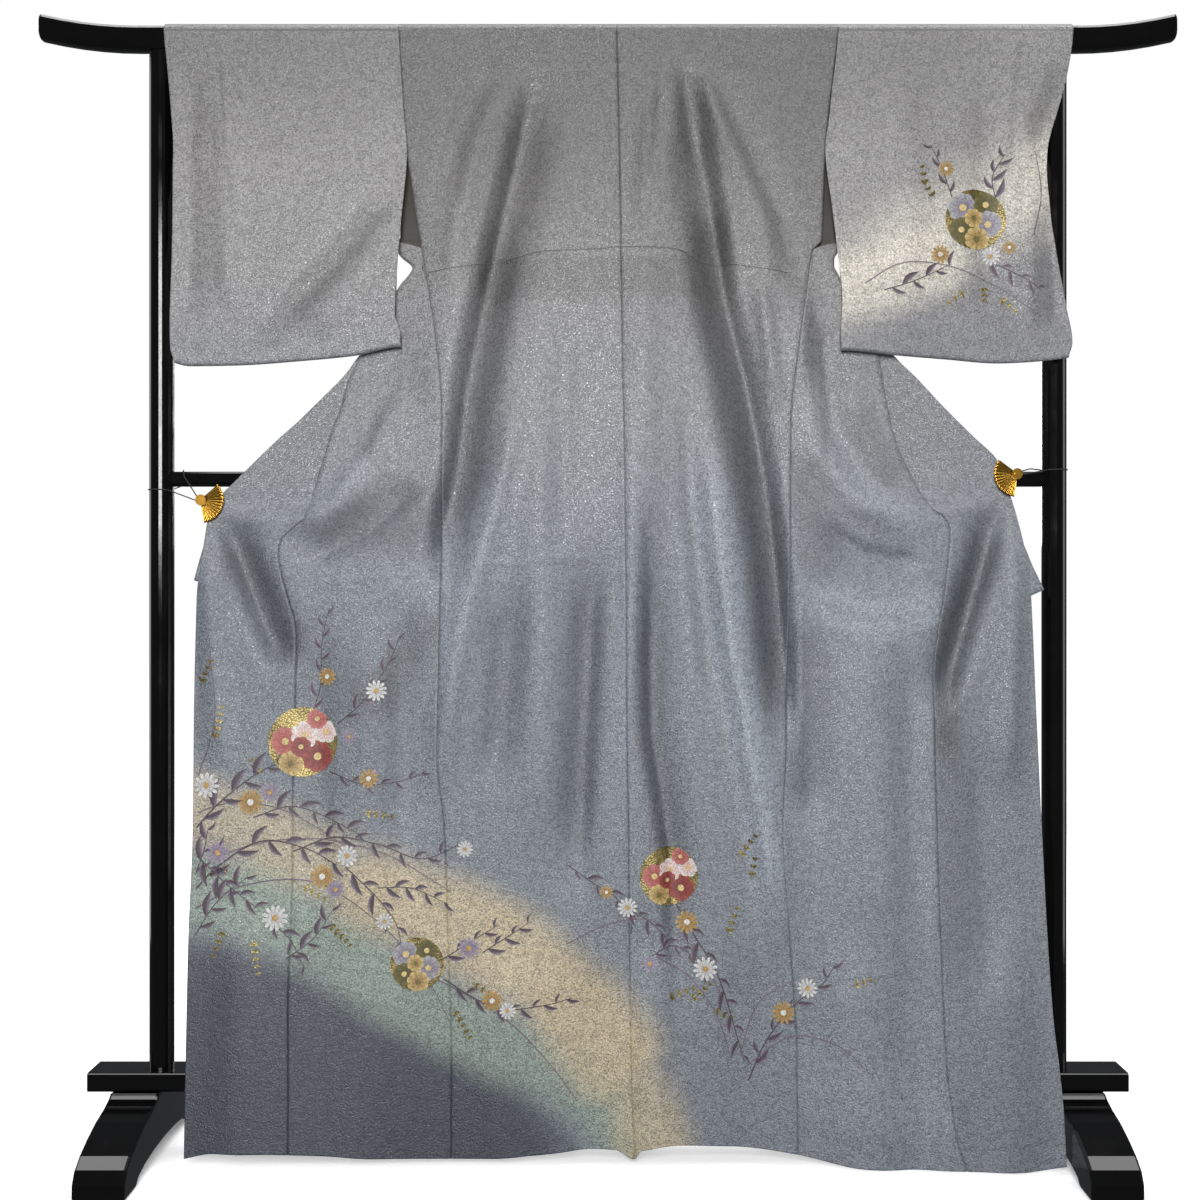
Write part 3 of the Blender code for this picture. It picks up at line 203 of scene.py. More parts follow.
@dataclass(frozen=True)
class Drape:
    """Form of the hanging cloth: where its edges run and how deep its faces lie."""

    gap: float = 0.4
    wrap_y: float = 18.0
    bar_top: float = 1658.5
    bar_corner: float = 12.0
    wrap_clear: float = 2.0
    shoulder_z: float = 1578.0
    body_top_z: float = 1646.5
    armhole_z: float = 1468.0
    side_seam_top: float = 1324.0
    free_edge_z: float = 1345.0
    hem_blend: float = 318.0
    neck_x: float = 13.0
    neck_y: float = 19.5
    clip_y: float = -34.0
    clip_reach: float = 600.0
    fold_turn: float = 8.0

    body = Table(
        "z centre side_left side_right",
        ((1646, 13, -307, 338), (1468, 17, -294, 318), (1400, 18, -284, 315), (1340, 19, -274, 313),
         (1324, 19, -272, 300), (1259, 20, -261, 290), (1185, 21, -250, 278), (1072, 23, -241, 266),
         (813, 26, -243, 263), (592, 28, -247, 257), (481, 30, -236, 252), (318, 31, -230, 262),
         (154, 33, -225, 271), (10, 37, -225, 272)),
    )
    far_edge = {Side.LEFT: 303.5, Side.RIGHT: 333.0}
    fold_edge = {
        Side.LEFT: Table("z o", (
            (1345, 313), (1331, 311), (1320, 307), (1312, 300), (1305, 291), (1299, 286.5),
            (1290, 291), (1275, 304), (1240, 325), (1200, 348), (1162, 367), (1130, 382), (1089, 393),
            (1063, 404), (1025, 414), (994, 424), (955, 434), (929, 443))),
        Side.RIGHT: Table("z o", (
            (1345, 343), (1332, 341), (1322, 337), (1312, 332), (1302, 332), (1292, 337), (1240, 362),
            (1200, 382), (1165, 398), (1133, 403), (1074, 414), (1045, 421), (1002, 440),
            (957, 464), (946, 473), (938, 484))),
    }
    okumi_seam = {
        Side.LEFT: Table("z o", (
            (1578, 72), (1555, 74), (1530, 78), (1506, 88), (1448, 130), (1360, 200), (1335, 218),
            (1262, 262), (1190, 305), (1065, 365), (991, 405), (955, 425), (929, 443), (914, 461),
            (898, 476), (880, 479), (850, 474), (813, 464), (770, 453), (660, 452), (592, 454),
            (400, 453), (236, 456), (90, 454), (0, 453))),
        Side.RIGHT: Table("z o", (
            (1578, 98), (1555, 101), (1530, 106), (1506, 118), (1448, 174), (1360, 253),
            (1335, 272), (1262, 310), (1171, 370), (1100, 399), (1045, 415), (1002, 434),
            (957, 458), (946, 468), (938, 484), (914, 497), (880, 495), (850, 492), (813, 487),
            (770, 479), (720, 473), (660, 471), (481, 473), (318, 476), (154, 481), (40, 495),
            (0, 507))),
    }
    okumi_top: float = 1322.0
    okumi_merge = {Side.LEFT: (958.0, 928.0), Side.RIGHT: (972.0, 938.0)}
    front_edge = {
        Side.LEFT: Table("z o", (
            (1335, 222), (1262, 282), (1164, 370), (1149, 380), (1119, 407), (1088, 437),
            (1043, 486), (1000, 529), (968, 561), (954, 577), (923, 582), (871, 589), (813, 595),
            (647, 597), (482, 596), (318, 599), (0, 599))),
        Side.RIGHT: Table("z o", (
            (1335, 276), (1262, 340), (1171, 417), (1141, 448), (1095, 490), (1053, 531),
            (1015, 568), (990, 578), (963, 586), (907, 600), (850, 611), (813, 613), (647, 618),
            (482, 623), (318, 628), (214, 633), (144, 640), (81, 645), (0, 648))),
    }
    hem = Table("x z", (
        (-600, 23), (-557, 31), (-455, 28), (-322, 17), (-225, 12), (-103, 17), (-11, 24),
        (10, 24), (37, 12), (49, 25), (98, 31), (208, 26), (274, 19), (344, 9), (412, 6),
        (502, 5.5), (584, 6), (650, 12)))
    base = Table("z body front", (
        (1646, 18, 18), (1600, 19.5, 19.5), (1500, 25, 22), (1300, 33, 21), (1150, 38, 22),
        (1000, 42, 31), (950, 44, 36), (800, 47, 44), (500, 55, 62), (200, 63, 88), (0, 68, 103)))

    # Folds of the back, left and right of the centre seam, then those of the fronts and the hem
    folds = (
        Fold(-27, 16, ((-100, 1610), (-128, 1484), (-160, 1344), (-186, 1227), (-206, 1123),
                       (-218, 1018), (-238, 915), (-244, 800)), 0.2, 42),
        Fold(9, 20, ((-122, 1160), (-150, 1014), (-168, 942), (-190, 870), (-205, 800), (-222, 720),
                     (-236, 600), (-244, 480)), 0.25),
        Fold(-12, 30, ((-18, 930), (-26, 780), (-34, 640), (-40, 500), (-44, 330)), 0.3, 16),
        Fold(7, 30, ((-90, 1120), (-98, 871), (-100, 640), (-104, 420))),
        Fold(-8, 22, ((-138, 860), (-150, 727), (-158, 620), (-176, 520)), 0.3, 30),
        Fold(-26, 40, ((120, 1620), (138, 1465), (160, 1330), (172, 1250), (202, 1123), (230, 984),
                       (246, 845), (256, 720), (264, 580)), 0.16, 14),
        Fold(13, 17, ((124, 1100), (145, 1010), (153, 942), (160, 884), (172, 798), (182, 727),
                      (196, 655), (206, 583), (219, 511), (231, 439), (238, 367), (250, 280)), 0.2, 24),
        Fold(-15, 12, ((62, 1010), (62, 870), (62, 730), (64, 620), (80, 520), (90, 440), (95, 330),
                       (108, 180)), 0.3, 34),
        Fold(5, 14, ((32, 1180), (32, 870), (30, 560)), 0.3),
        Fold(6, 24, ((52, 1400), (54, 987), (52, 700))),
        Fold(-5, 6, ((78, 1580), (72, 1500), (62, 1400)), 0.3, 11),
        Fold(-6, 8, ((104, 1620), (118, 1520), (132, 1430)), 0.3, 20),
        Fold(-4, 9, ((62, 1560), (52, 1450), (46, 1340)), 0.3, 14),
        Fold(-6, 14, ((140, 1600), (200, 1480), (252, 1370), (276, 1250)), 0.25, 26),
        Fold(5, 16, ((120, 1610), (178, 1490), (224, 1370), (240, 1260)), 0.25),
        Fold(-5, 14, ((-170, 1610), (-220, 1500), (-250, 1380)), 0.25, 24),
        Fold(5, 18, ((-140, 1600), (-190, 1480), (-222, 1350), (-232, 1240)), 0.25),
        Fold(-7, 18, ((188, 1330), (206, 1200), (224, 1080), (240, 960)), 0.25, 22),
        Fold(6, 12, ((218, 1300), (232, 1190), (246, 1080)), 0.3),
        Fold(-6, 16, ((112, 1180), (122, 980), (138, 800), (160, 600)), 0.3, 30),
        Fold(-5, 24, ((-60, 1250), (-66, 1040), (-74, 860)), 0.3, 18),
        Fold(11, 16, ((-290, 1130), (-345, 1020), (-400, 955), (-468, 902)), 0.22, 30),
        Fold(-8, 30, ((-270, 985), (-345, 915), (-420, 878), (-462, 866)), 0.22, 14),
        Fold(-16, 16, ((-566, 950), (-534, 871), (-501, 784), (-462, 700)), 0.22, 30),
        Fold(7, 20, ((-585, 900), (-572, 760), (-560, 560))),
        Fold(5, 34, ((-350, 800), (-345, 560), (-350, 300))),
        Fold(-5, 20, ((-300, 830), (-296, 620), (-300, 420)), 0.3, 30),
        Fold(-5, 26, ((-420, 820), (-416, 600), (-410, 330)), 0.3, 18),
        Fold(12, 26, ((283, 1290), (283, 1161), (308, 1023), (366, 958), (437, 926), (488, 912)), 0.2, 15),
        Fold(-9, 14, ((312, 1230), (330, 1060), (382, 990)), 0.25, 22),
        Fold(-8, 24, ((300, 930), (370, 880), (470, 862)), 0.3, 12),
        Fold(-18, 30, ((572, 975), (547, 871), (512, 755), (478, 640)), 0.22, 15),
        Fold(9, 24, ((592, 930), (588, 760), (575, 520)), 0.25, 16),
        Fold(-6, 18, ((287, 830), (297, 640), (290, 438)), 0.3, 28),
        Fold(6, 36, ((380, 800), (385, 560), (390, 300))),
        Fold(-5, 24, ((440, 800), (436, 560), (446, 260)), 0.3, 18),
        Fold(-6, 20, ((530, 640), (540, 420), (548, 200)), 0.3, 34),
        Fold(7, 36, ((-150, 330), (-150, -230))),
        Fold(-7, 30, ((-30, 330), (-25, -230))),
        Fold(8, 30, ((60, 330), (66, -230))),
        Fold(-6, 34, ((190, 330), (196, -230))),
        Fold(-7, 38, ((-400, 400), (-395, -260))),
        Fold(7, 36, ((-520, 400), (-530, -260))),
        Fold(6, 36, ((350, 360), (356, -250))),
        Fold(-8, 34, ((430, 360), (440, -250))),
        Fold(8, 38, ((560, 380), (580, -260))),
    )

    # Creases that are too fine for the solids: pressed lines from storage and the edge of the tuck
    creases = (
        Fold(1.3, 3.0, ((-442, 839), (-243, 853)), 0.1),
        Fold(1.2, 3.0, ((-194, 862), (-16, 875)), 0.12),
        Fold(1.4, 3.5, ((262, 831), (318, 812), (372, 790), (440, 796)), 0.15),
        Fold(-1.0, 3.5, ((148, 986), (198, 982), (246, 984)), 0.2),
        Fold(1.0, 3.0, ((81, 735), (130, 777)), 0.2),
    )

    def near_y(self, x: Array, z: Array) -> Array:
        """Outer face towards the viewer: a tilted base, less the folds that stand out from it."""
        end = mix(420.0, 320.0, ramp(900.0, 1100.0, z))
        spread = ramp(0.0, 1.0, (np.abs(x) - 225.0) / (end - 225.0))
        base = mix(self.base.at("body", z), self.base.at("front", z), spread)
        relief = sum(fold.relief(x, z) for fold in self.folds + self.creases)
        return -base - relief * ramp(1640.0, 1560.0, z)

    def taut_y(self, x: Array) -> Array:
        """Plane in which collar and okumi are drawn from the neck to the clips."""
        return mix(self.neck_y, self.clip_y, np.abs(x - self.neck_x) / self.clip_reach)

    def far_y(self, x: Array, z: Array) -> Array:
        """Outer face of the far layers: on the bar's far side, going over to the taut plane."""
        return mix(self.wrap_y, self.taut_y(x), ramp(1595.0, self.free_edge_z, z))

    def okumi_y(self, side: Side, x: Array, z: Array) -> Array:
        """Face of the okumi: taut above the clip, one with the front below it."""
        high, low = self.okumi_merge[side]
        return mix(self.far_y(x, z), self.near_y(x, z), ramp(high, low, z))

    def settle(self, x: Array, level: Array | float) -> Array:
        """Height of a row: levels below hem_blend are drawn down to the hem line."""
        share = 1.0 - np.minimum(level, self.hem_blend) / self.hem_blend
        return level + self.hem.at("z", x) * share

    def side_edge(self, side: Side, y: Array | float, z: Array | float) -> Array:
        """o of the armhole seam and side seam; over the bar it moves to the far edge's place."""
        near = np.abs(self.body.at("side_" + side.word, z))
        over = mix(near, self.far_edge[side], ramp(-self.wrap_y, self.wrap_y, y))
        return np.where(np.asarray(z) > self.armhole_z, over, near)

    def wrap_path(self, steps: int = 8) -> list[tuple[float, float]]:
        """Line over the bar as y and z, from its far side to its near side: two quarter circles."""
        radius = self.bar_corner + self.wrap_clear
        centre_y = self.wrap_y - self.wrap_clear - self.bar_corner
        centre_z = self.bar_top - self.bar_corner
        path = []
        for sign, start in ((1, 0.0), (-1, 90.0)):
            turns = np.radians(start + np.linspace(0.0, 90.0, steps + 1))
            path += list(zip(sign * centre_y + radius * np.cos(turns), centre_z + radius * np.sin(turns)))
        return path


DRAPE = Drape()


def spaced(low: float, high: float, step: float, edge: float = 1.2) -> Array:
    """Places from low to high about a step apart, with two narrow steps at each end for the rim."""
    count = max(int(round(abs(high - low) / step)), 2)
    share = np.linspace(0.0, 1.0, count + 1)
    near = np.array([1.0, 2.4]) * edge / abs(high - low)
    return low + (high - low) * np.concatenate([[0.0], near, share[1:-1], 1.0 - near[::-1], [1.0]])


def sew(grid: Array, seams: tuple[float, float], depth: float = 1.4, reach: float = 1.3) -> Array:
    """Grid whose edges dip behind its face along sewn seams: depth times e to the -distance/reach.

    Args:
        grid: Points, rows by columns by 3.
        seams: Share of the dip at the first and at the last column.
        depth: Dip at the seam itself, towards +Y.
        reach: Distance over which most of it is gone.

    Returns:
        A grid with y raised beside the seams.
    """
    travelled = np.zeros(grid.shape[:2])
    travelled[:, 1:] = np.cumsum(np.linalg.norm(np.diff(grid, axis=1), axis=2), axis=1)
    first, last = travelled, travelled[:, -1:] - travelled
    dip = seams[0] * np.exp(-first / reach) + seams[1] * np.exp(-last / reach)
    sewn = grid.copy()
    sewn[:, :, 1] += depth * dip
    return sewn


def walls(grid: Array, side: float, closed: bool) -> Array:
    """Unit normals of a grid, outwards from the cloth's face.

    Args:
        grid: Points, rows by columns by 3; rows run down the near face, columns outwards.
        side: Sign along X of the columns' direction.
        closed: Whether the last row joins the first.

    Returns:
        The cross product of the steps down and across, at length 1.
    """
    down = np.roll(grid, -1, 0) - np.roll(grid, 1, 0) if closed else np.gradient(grid, axis=0)
    normal = -side * np.cross(np.gradient(grid, axis=1), down)
    length = np.linalg.norm(normal, axis=2, keepdims=True)
    return normal / np.maximum(length, 1e-9)


@dataclass
class Cloth:
    """A grid of points made into a closed shell with a half-round rim."""

    name: str
    grid: Array
    inward: Array
    closed: bool = False

    def ring(self, face: Array, back: Array) -> Array:
        """Points once round each row's section: face, rim, back reversed, rim."""
        middle = (face + back) / 2
        reach = np.linalg.norm(face - back, axis=2, keepdims=True) / 2
        first, last = self.outward_step(face, 0, 1), self.outward_step(face, -1, -2)
        right = middle[:, -1:] + last * reach[:, -1:]
        left = middle[:, :1] + first * reach[:, :1]
        return np.concatenate([face, right, back[:, ::-1], left], axis=1)

    @staticmethod
    def outward_step(face: Array, edge: int, inner: int) -> Array:
        """Unit steps from the second column to the edge column."""
        step = face[:, edge] - face[:, inner]
        return (step / np.maximum(np.linalg.norm(step, axis=1, keepdims=True), 1e-9))[:, None]

    def build(self, materials: list[bpy.types.Material], dye: bool = True) -> bpy.types.Object:
        """Makes the object.

        Args:
            materials: Face silk, lining and rim, in that order.
            dye: Whether to add the attributes with the shares of the dyed colours and of painted shade and
                highlight.

        Returns:
            The finished object, linked to the scene.
        """
        face, back = self.grid, self.grid + self.inward
        rows, columns = face.shape[:2]
        points = self.ring(face, back)
        width = points.shape[1]
        index = np.arange(rows * width).reshape(rows, width)
        flat_points = [points.reshape(-1, 3)]
        low = index if self.closed else index[:-1]
        high = np.roll(index, -1, 0) if self.closed else index[1:]
        quads = np.stack([low, np.roll(low, -1, 1), np.roll(high, -1, 1), high], axis=2)
        kinds = np.zeros(width, int)
        kinds[columns - 1:columns + 1] = 2
        kinds[columns + 1:2 * columns] = 1
        kinds[2 * columns:] = 2
        faces = [quads.reshape(-1, 4)]
        slots = [np.tile(kinds, len(low))]
        if not self.closed:
            seat = np.concatenate([np.arange(columns), [columns - 1],
                                   np.arange(columns)[::-1], [0]])
            for row, beside in ((0, 1), (rows - 1, rows - 2)):
                away = (face[row] + back[row] - face[beside] - back[beside]) / 2
                away /= np.maximum(np.linalg.norm(away, axis=1, keepdims=True), 1e-9)
                reach = np.linalg.norm(face[row] - back[row], axis=1, keepdims=True) / 2
                cap = (face[row] + back[row]) / 2 + away * reach
                start = sum(len(p) for p in flat_points)
                flat_points.append(cap)
                ends = start + seat
                ring = index[row]
                pair = [np.roll(ring, -1), ring, ends, np.roll(ends, -1)]
                faces.append(np.stack(pair if row == 0 else pair[::-1], axis=1))
                slots.append(np.full(width, 2))
        cells = [tuple(dict.fromkeys(cell)) for cell in np.concatenate(faces).tolist()]
        mesh = bpy.data.meshes.new(self.name)
        mesh.from_pydata((np.concatenate(flat_points) * MM).tolist(), [], cells)
        mesh.polygons.foreach_set("material_index", np.concatenate(slots).astype(np.int32))
        self.add_weave(mesh, rows, columns)
        if dye:
            self.add_dye_and_painted_shade(mesh)
        work = bmesh.new()
        work.from_mesh(mesh)
        bmesh.ops.recalc_face_normals(work, faces=work.faces)
        work.to_mesh(mesh)
        work.free()
        return finished(self.name, mesh, materials, 70.0)

    def add_weave(self, mesh: bpy.types.Mesh, rows: int, columns: int) -> None:
        """UV map in metres of cloth: along the rows and down the columns of the grid."""
        across = np.linalg.norm(np.diff(self.grid, axis=1), axis=2)
        down = np.linalg.norm(np.diff(self.grid, axis=0), axis=2)
        u = np.concatenate([np.zeros((rows, 1)), np.cumsum(across, 1)], axis=1)
        v = np.concatenate([np.zeros((1, columns)), np.cumsum(down, 0)])
        u -= u[:, columns // 2:columns // 2 + 1]
        v = np.broadcast_to(v[:, columns // 2:columns // 2 + 1], u.shape)
        uv = np.stack([u, v], axis=2) * MM
        ring = np.concatenate([uv, uv[:, -1:], uv[:, ::-1], uv[:, :1]], axis=1).reshape(-1, 2)
        caps = [] if self.closed else [uv[0], uv[-1]]
        values = np.concatenate([ring, *caps])
        corners = np.zeros(len(mesh.loops), np.int32)
        mesh.loops.foreach_get("vertex_index", corners)
        mesh.uv_layers.new(name="weave").data.foreach_set("uv", values[corners].ravel())

    def add_dye_and_painted_shade(self, mesh: bpy.types.Mesh) -> None:
        """Attributes with the shares of cream, mint, slate and ivory, and the depth of painted shade and
        highlight.
        """
        places = np.zeros(len(mesh.vertices) * 3)
        mesh.vertices.foreach_get("co", places)
        places = places.reshape(-1, 3) / MM
        shares = DYES_AND_PAINTED_SHADE.shares(self.name, places[:, 0], places[:, 2])
        layer = mesh.attributes.new("dye", "FLOAT_COLOR", "POINT")
        layer.data.foreach_set("color", shares[:, :4].ravel())
        # depth: painted shade above zero, painted highlight below zero
        layer = mesh.attributes.new("depth", "FLOAT", "POINT")
        layer.data.foreach_set("value", shares[:, 4].copy())


def finished(name: str, mesh: bpy.types.Mesh, materials: list[bpy.types.Material],
             smooth_angle: float) -> bpy.types.Object:
    """Links a mesh as an object at the origin, with its materials and smooth shading.

    Args:
        name: Piece name.
        mesh: The mesh with its place in its points.
        materials: Materials in slot order.
        smooth_angle: Edges sharper than this many degrees stay sharp.

    Returns:
        The linked object.
    """
    for material in materials:
        mesh.materials.append(material)
    mesh.shade_smooth()
    mesh.set_sharp_from_angle(angle=math.radians(smooth_angle))
    piece = bpy.data.objects.new(name, mesh)
    bpy.context.scene.collection.objects.link(piece)
    return piece


BODY = ("back", "front", "okumi")
BACK = ("back",)
SLEEVE = ("sleeve",)


@dataclass(frozen=True)
class Patch:
    """Soft-edged patch along a route, of dye and also of painted shade and highlight, on the pieces whose
    names hold one of its words.
    """

    on: tuple[str, ...]
    route: Route
    half_width: float
    soft: float
    strength: float = 1.0
    fade: float = 0.0

    def share(self, name: str, x: Array, z: Array) -> Array:
        """Strength: full within half_width of the route, fading over soft and towards its ends."""
        if not any(word in name for word in self.on):
            return np.zeros_like(x)
        distance, place = route_place(x, z, self.route)
        share = self.strength * ramp(self.half_width + self.soft, self.half_width, np.abs(distance))
        if self.fade:
            share = share * ramp(0.0, self.fade, place) * ramp(1.0, 1.0 - self.fade, place)
        return share


@dataclass(frozen=True)
class DyesAndPaintedShade:
    """Areas of the dyed colours, brushed on by hand across the seams, and of painted shade and painted
    highlight.
    """

    cream: tuple[Patch, ...] = (
        Patch(BODY, ((-640, 530), (-525, 490), (-440, 452), (-325, 404), (-254, 368)), 16, 62, 0.7),
        Patch(BODY, ((-340, 400), (-254, 362), (-182, 326), (-111, 284), (-40, 232), (17, 168)),
              24, 66, 0.95),
        Patch(BODY, ((-230, 352), (-150, 316), (-70, 256), (0, 150)), 30, 60, 0.9),
        Patch(BODY, ((0, 190), (40, 110), (66, 40), (80, -40)), 14, 66, 0.72),
    )
    mint: tuple[Patch, ...] = (
        Patch(BODY, ((-640, 396), (-510, 384), (-424, 336), (-339, 280), (-254, 226), (-154, 176),
                     (-68, 140), (-11, 96), (20, 60)), 22, 58, 0.85),
    )
    slate: tuple[Patch, ...] = (
        Patch(BODY, ((-640, 236), (-496, 216), (-382, 166), (-268, 110), (-190, 60), (-150, 0)),
              56, 86, 1.0),
        Patch(BODY, ((-640, 60), (-400, 40), (-250, 0)), 90, 90, 1.0),
        Patch(BODY, ((-600, 790), (-480, 720), (-380, 640)), 20, 150, 0.25),
        Patch(SLEEVE, ((700, 1262), (560, 1232), (440, 1196), (320, 1150)), 40, 70, 0.2),
    )
    ivory: tuple[Patch, ...] = (
        Patch(SLEEVE, ((320, 1266), (408, 1312), (513, 1362), (618, 1416), (690, 1460)), 4, 104, 0.62),
        Patch(SLEEVE, ((322, 1264), (400, 1290), (470, 1312)), 20, 66, 0.95),
        Patch(SLEEVE, ((560, 1390), (606, 1412), (660, 1430)), 4, 96, 0.72),
    )

    # Painted shade where the satin turns from the viewer and over the tops of the back and sleeves, and
    # painted highlight (below zero) on the ridges
    depth: tuple[Patch, ...] = (
        Patch(BACK, ((-350, 1640), (350, 1640)), 60, 480, 0.52),
        Patch(SLEEVE, ((-700, 1650), (-320, 1650)), 20, 210, 0.3),
        Patch(SLEEVE, ((330, 1650), (420, 1650)), 20, 190, 0.24),
        Patch(BACK, ((-160, 1280), (125, 1284)), 26, 8, 0.18),
        Patch(BACK, ((30, 1180), (30, 900), (28, 520)), 7, 18, -0.14, 0.2),
        Patch(BACK, ((60, 1010), (60, 760), (63, 600), (82, 510), (92, 440), (95, 330), (108, 180)),
              8, 28, 0.42, 0.35),
        Patch(BACK, ((128, 1085), (145, 1010), (152, 942), (160, 884), (172, 798), (181, 727), (196, 655),
                     (205, 583), (218, 511), (231, 439), (236, 367), (250, 280)), 11, 32, -0.54, 0.2),
        Patch(BACK, ((146, 1420), (147, 1300), (152, 1230), (172, 1157), (182, 1085), (198, 1014),
                     (218, 942), (230, 870), (236, 798), (240, 727), (250, 655), (262, 583)),
              14, 30, 0.5, 0.12),
        Patch(BACK, ((-150, 1400), (-166, 1230), (-176, 1157), (-194, 1085), (-202, 1014), (-224, 942),
                     (-234, 860)), 13, 26, 0.42, 0.2),
        Patch(BACK, ((-150, 1014), (-168, 942), (-190, 870), (-205, 820), (-222, 740), (-234, 660)),
              8, 24, -0.22, 0.2),
        Patch(BODY, ((-140, 840), (-150, 727), (-156, 655), (-168, 583), (-200, 511)), 16, 32, 0.25, 0.25),
        Patch(BACK, ((-18, 930), (-25, 800), (-32, 655), (-38, 583), (-42, 511), (-40, 400)),
              16, 28, 0.34, 0.3),
        Patch(BODY, ((-560, 915), (-515, 850), (-483, 798), (-458, 700)), 10, 36, 0.45, 0.2),
        Patch(BODY, ((-440, 930), (-390, 970), (-330, 1020)), 10, 26, -0.3, 0.2),
        Patch(("front",), ((-370, 926), (-250, 934)), 26, 52, 0.3),
        Patch(("front",), ((-252, 810), (-285, 740), (-320, 690), (-345, 630)), 10, 34, 0.33, 0.2),
        Patch(("front",), ((-330, 838), (-241, 846)), 3, 8, -0.25, 0.2),
        Patch(("front",), ((290, 1150), (303, 1086), (335, 1014), (380, 960), (430, 935), (470, 905)),
              9, 26, -0.32, 0.15),
        Patch(("front",), ((358, 1110), (375, 1060), (395, 1014), (440, 985)), 10, 26, 0.3, 0.2),
        Patch(("front",), ((275, 1000), (300, 942), (310, 870)), 14, 36, 0.24),
        Patch(("front",), ((320, 806), (395, 784), (460, 800)), 12, 36, -0.36),
        Patch(("front",), ((285, 740), (290, 690), (287, 560)), 16, 40, 0.26),
        Patch(("okumi",), ((560, 930), (540, 860), (513, 798), (490, 727), (484, 655), (480, 560)),
              10, 32, 0.48, 0.15),
        Patch(("okumi",), ((484, 640), (484, 400), (490, 230)), 12, 34, 0.18, 0.2),
        Patch(("okumi",), ((545, 760), (545, 400), (550, 60)), 40, 60, 0.13),
        Patch(("front",), ((-370, 760), (-375, 480)), 50, 60, 0.08),
        Patch(("front",), ((300, 120), (480, 90)), 14, 60, -0.14),
        Patch(SLEEVE, ((-318, 1400), (-345, 1368), (-400, 1296), (-444, 1243), (-519, 1174)),
              6, 24, 0.3, 0.15),
        Patch(SLEEVE, ((-568, 1610), (-556, 1480), (-546, 1379)), 1.0, 4.0, 0.22, 0.1),
        Patch(SLEEVE, ((606, 1642), (592, 1541), (579, 1420)), 1.0, 4.0, 0.22, 0.1),
        Patch(SLEEVE, ((664, 1606), (642, 1550), (606, 1476)), 6, 15, 0.3, 0.2),
        Patch(SLEEVE, ((632, 1500), (622, 1430), (618, 1350)), 6, 18, -0.22, 0.2),
        Patch(SLEEVE, ((345, 1253), (430, 1276), (500, 1296)), 1.0, 5.0, 0.16, 0.1),
    )
    # Limits of the painted highlight and the painted shade
    painted_highlight_most: float = -0.6
    painted_shade_most: float = 0.66

    def shares(self, name: str, x: Array, z: Array) -> Array:
        """Shares of the dyed colours on one piece.

        Args:
            name: Name of the piece.
            x: Places across, millimetres.
            z: Heights, millimetres.

        Returns:
            Rows with the shares of cream, mint, slate and ivory, and the depth of painted shade (below
            zero, painted highlight).
        """
        groups = (self.cream, self.mint, self.slate, self.ivory)
        columns = [np.max([patch.share(name, x, z) for patch in group], axis=0) for group in groups]
        depth = np.sum([patch.share(name, x, z) for patch in self.depth], axis=0)
        return np.stack([*columns, np.clip(depth, self.painted_highlight_most, self.painted_shade_most)], axis=1)


DYES_AND_PAINTED_SHADE = DyesAndPaintedShade()


class Finish:
    """A material under construction: its node tree and one way to add nodes."""

    def __init__(self, name: str) -> None:
        """Starts a material with its Principled shader."""
        self.material = bpy.data.materials.new(name)
        self.material.use_nodes = True
        self.tree = self.material.node_tree
        self.shader = self.tree.nodes["Principled BSDF"]

    def node(self, kind: str, settings: dict | None = None, **links: object) -> bpy.types.Node:
        """Adds a node.

        Args:
            kind: Node type without its ShaderNode prefix.
            settings: Attributes of the node; a key that starts with "in:" sets a socket instead.
            links: Socket name with _ for spaces, or "s" and an index, to an output or a value.

        Returns:
            The new node.
        """
        made = self.tree.nodes.new("ShaderNode" + kind)
        for key, value in (settings or {}).items():
            if key.startswith("in:"):
                made.inputs[key[3:]].default_value = value
            else:
                setattr(made, key, value)
        for key, value in links.items():
            socket = made.inputs[int(key[1:])] if key[1:].isdigit() else made.inputs[key.replace("_", " ")]
            if isinstance(value, bpy.types.NodeSocket):
                self.tree.links.new(value, socket)
            else:
                socket.default_value = value
        return made

    def link(self, output: bpy.types.NodeSocket, name: str) -> None:
        """Links an output to a socket of the shader."""
        self.tree.links.new(output, self.shader.inputs[name])

    def set(self, **values: object) -> None:
        """Sets uniform values on the shader's own sockets, with _ for spaces."""
        for key, value in values.items():
            self.shader.inputs[key.replace("_", " ")].default_value = value

    def blend(self, weight: object, low: object, high: object) -> bpy.types.NodeSocket:
        """Colour mixed from low to high by a weight."""
        made = self.node("Mix", {"data_type": "RGBA"}, s0=weight, s6=low, s7=high)
        return made.outputs[2]

    def math(self, operation: str, first: object, second: object = 0.0) -> bpy.types.NodeSocket:
        """Result of a Math node."""
        return self.node("Math", {"operation": operation}, s0=first, s1=second).outputs[0]

    def bump(self, height: bpy.types.NodeSocket, distance: float, strength: float) -> None:
        """Bump on the shader's normal, with its relief in metres."""
        made = self.node("Bump", {"in:Distance": distance, "in:Strength": strength}, Height=height)
        self.link(made.outputs[0], "Normal")


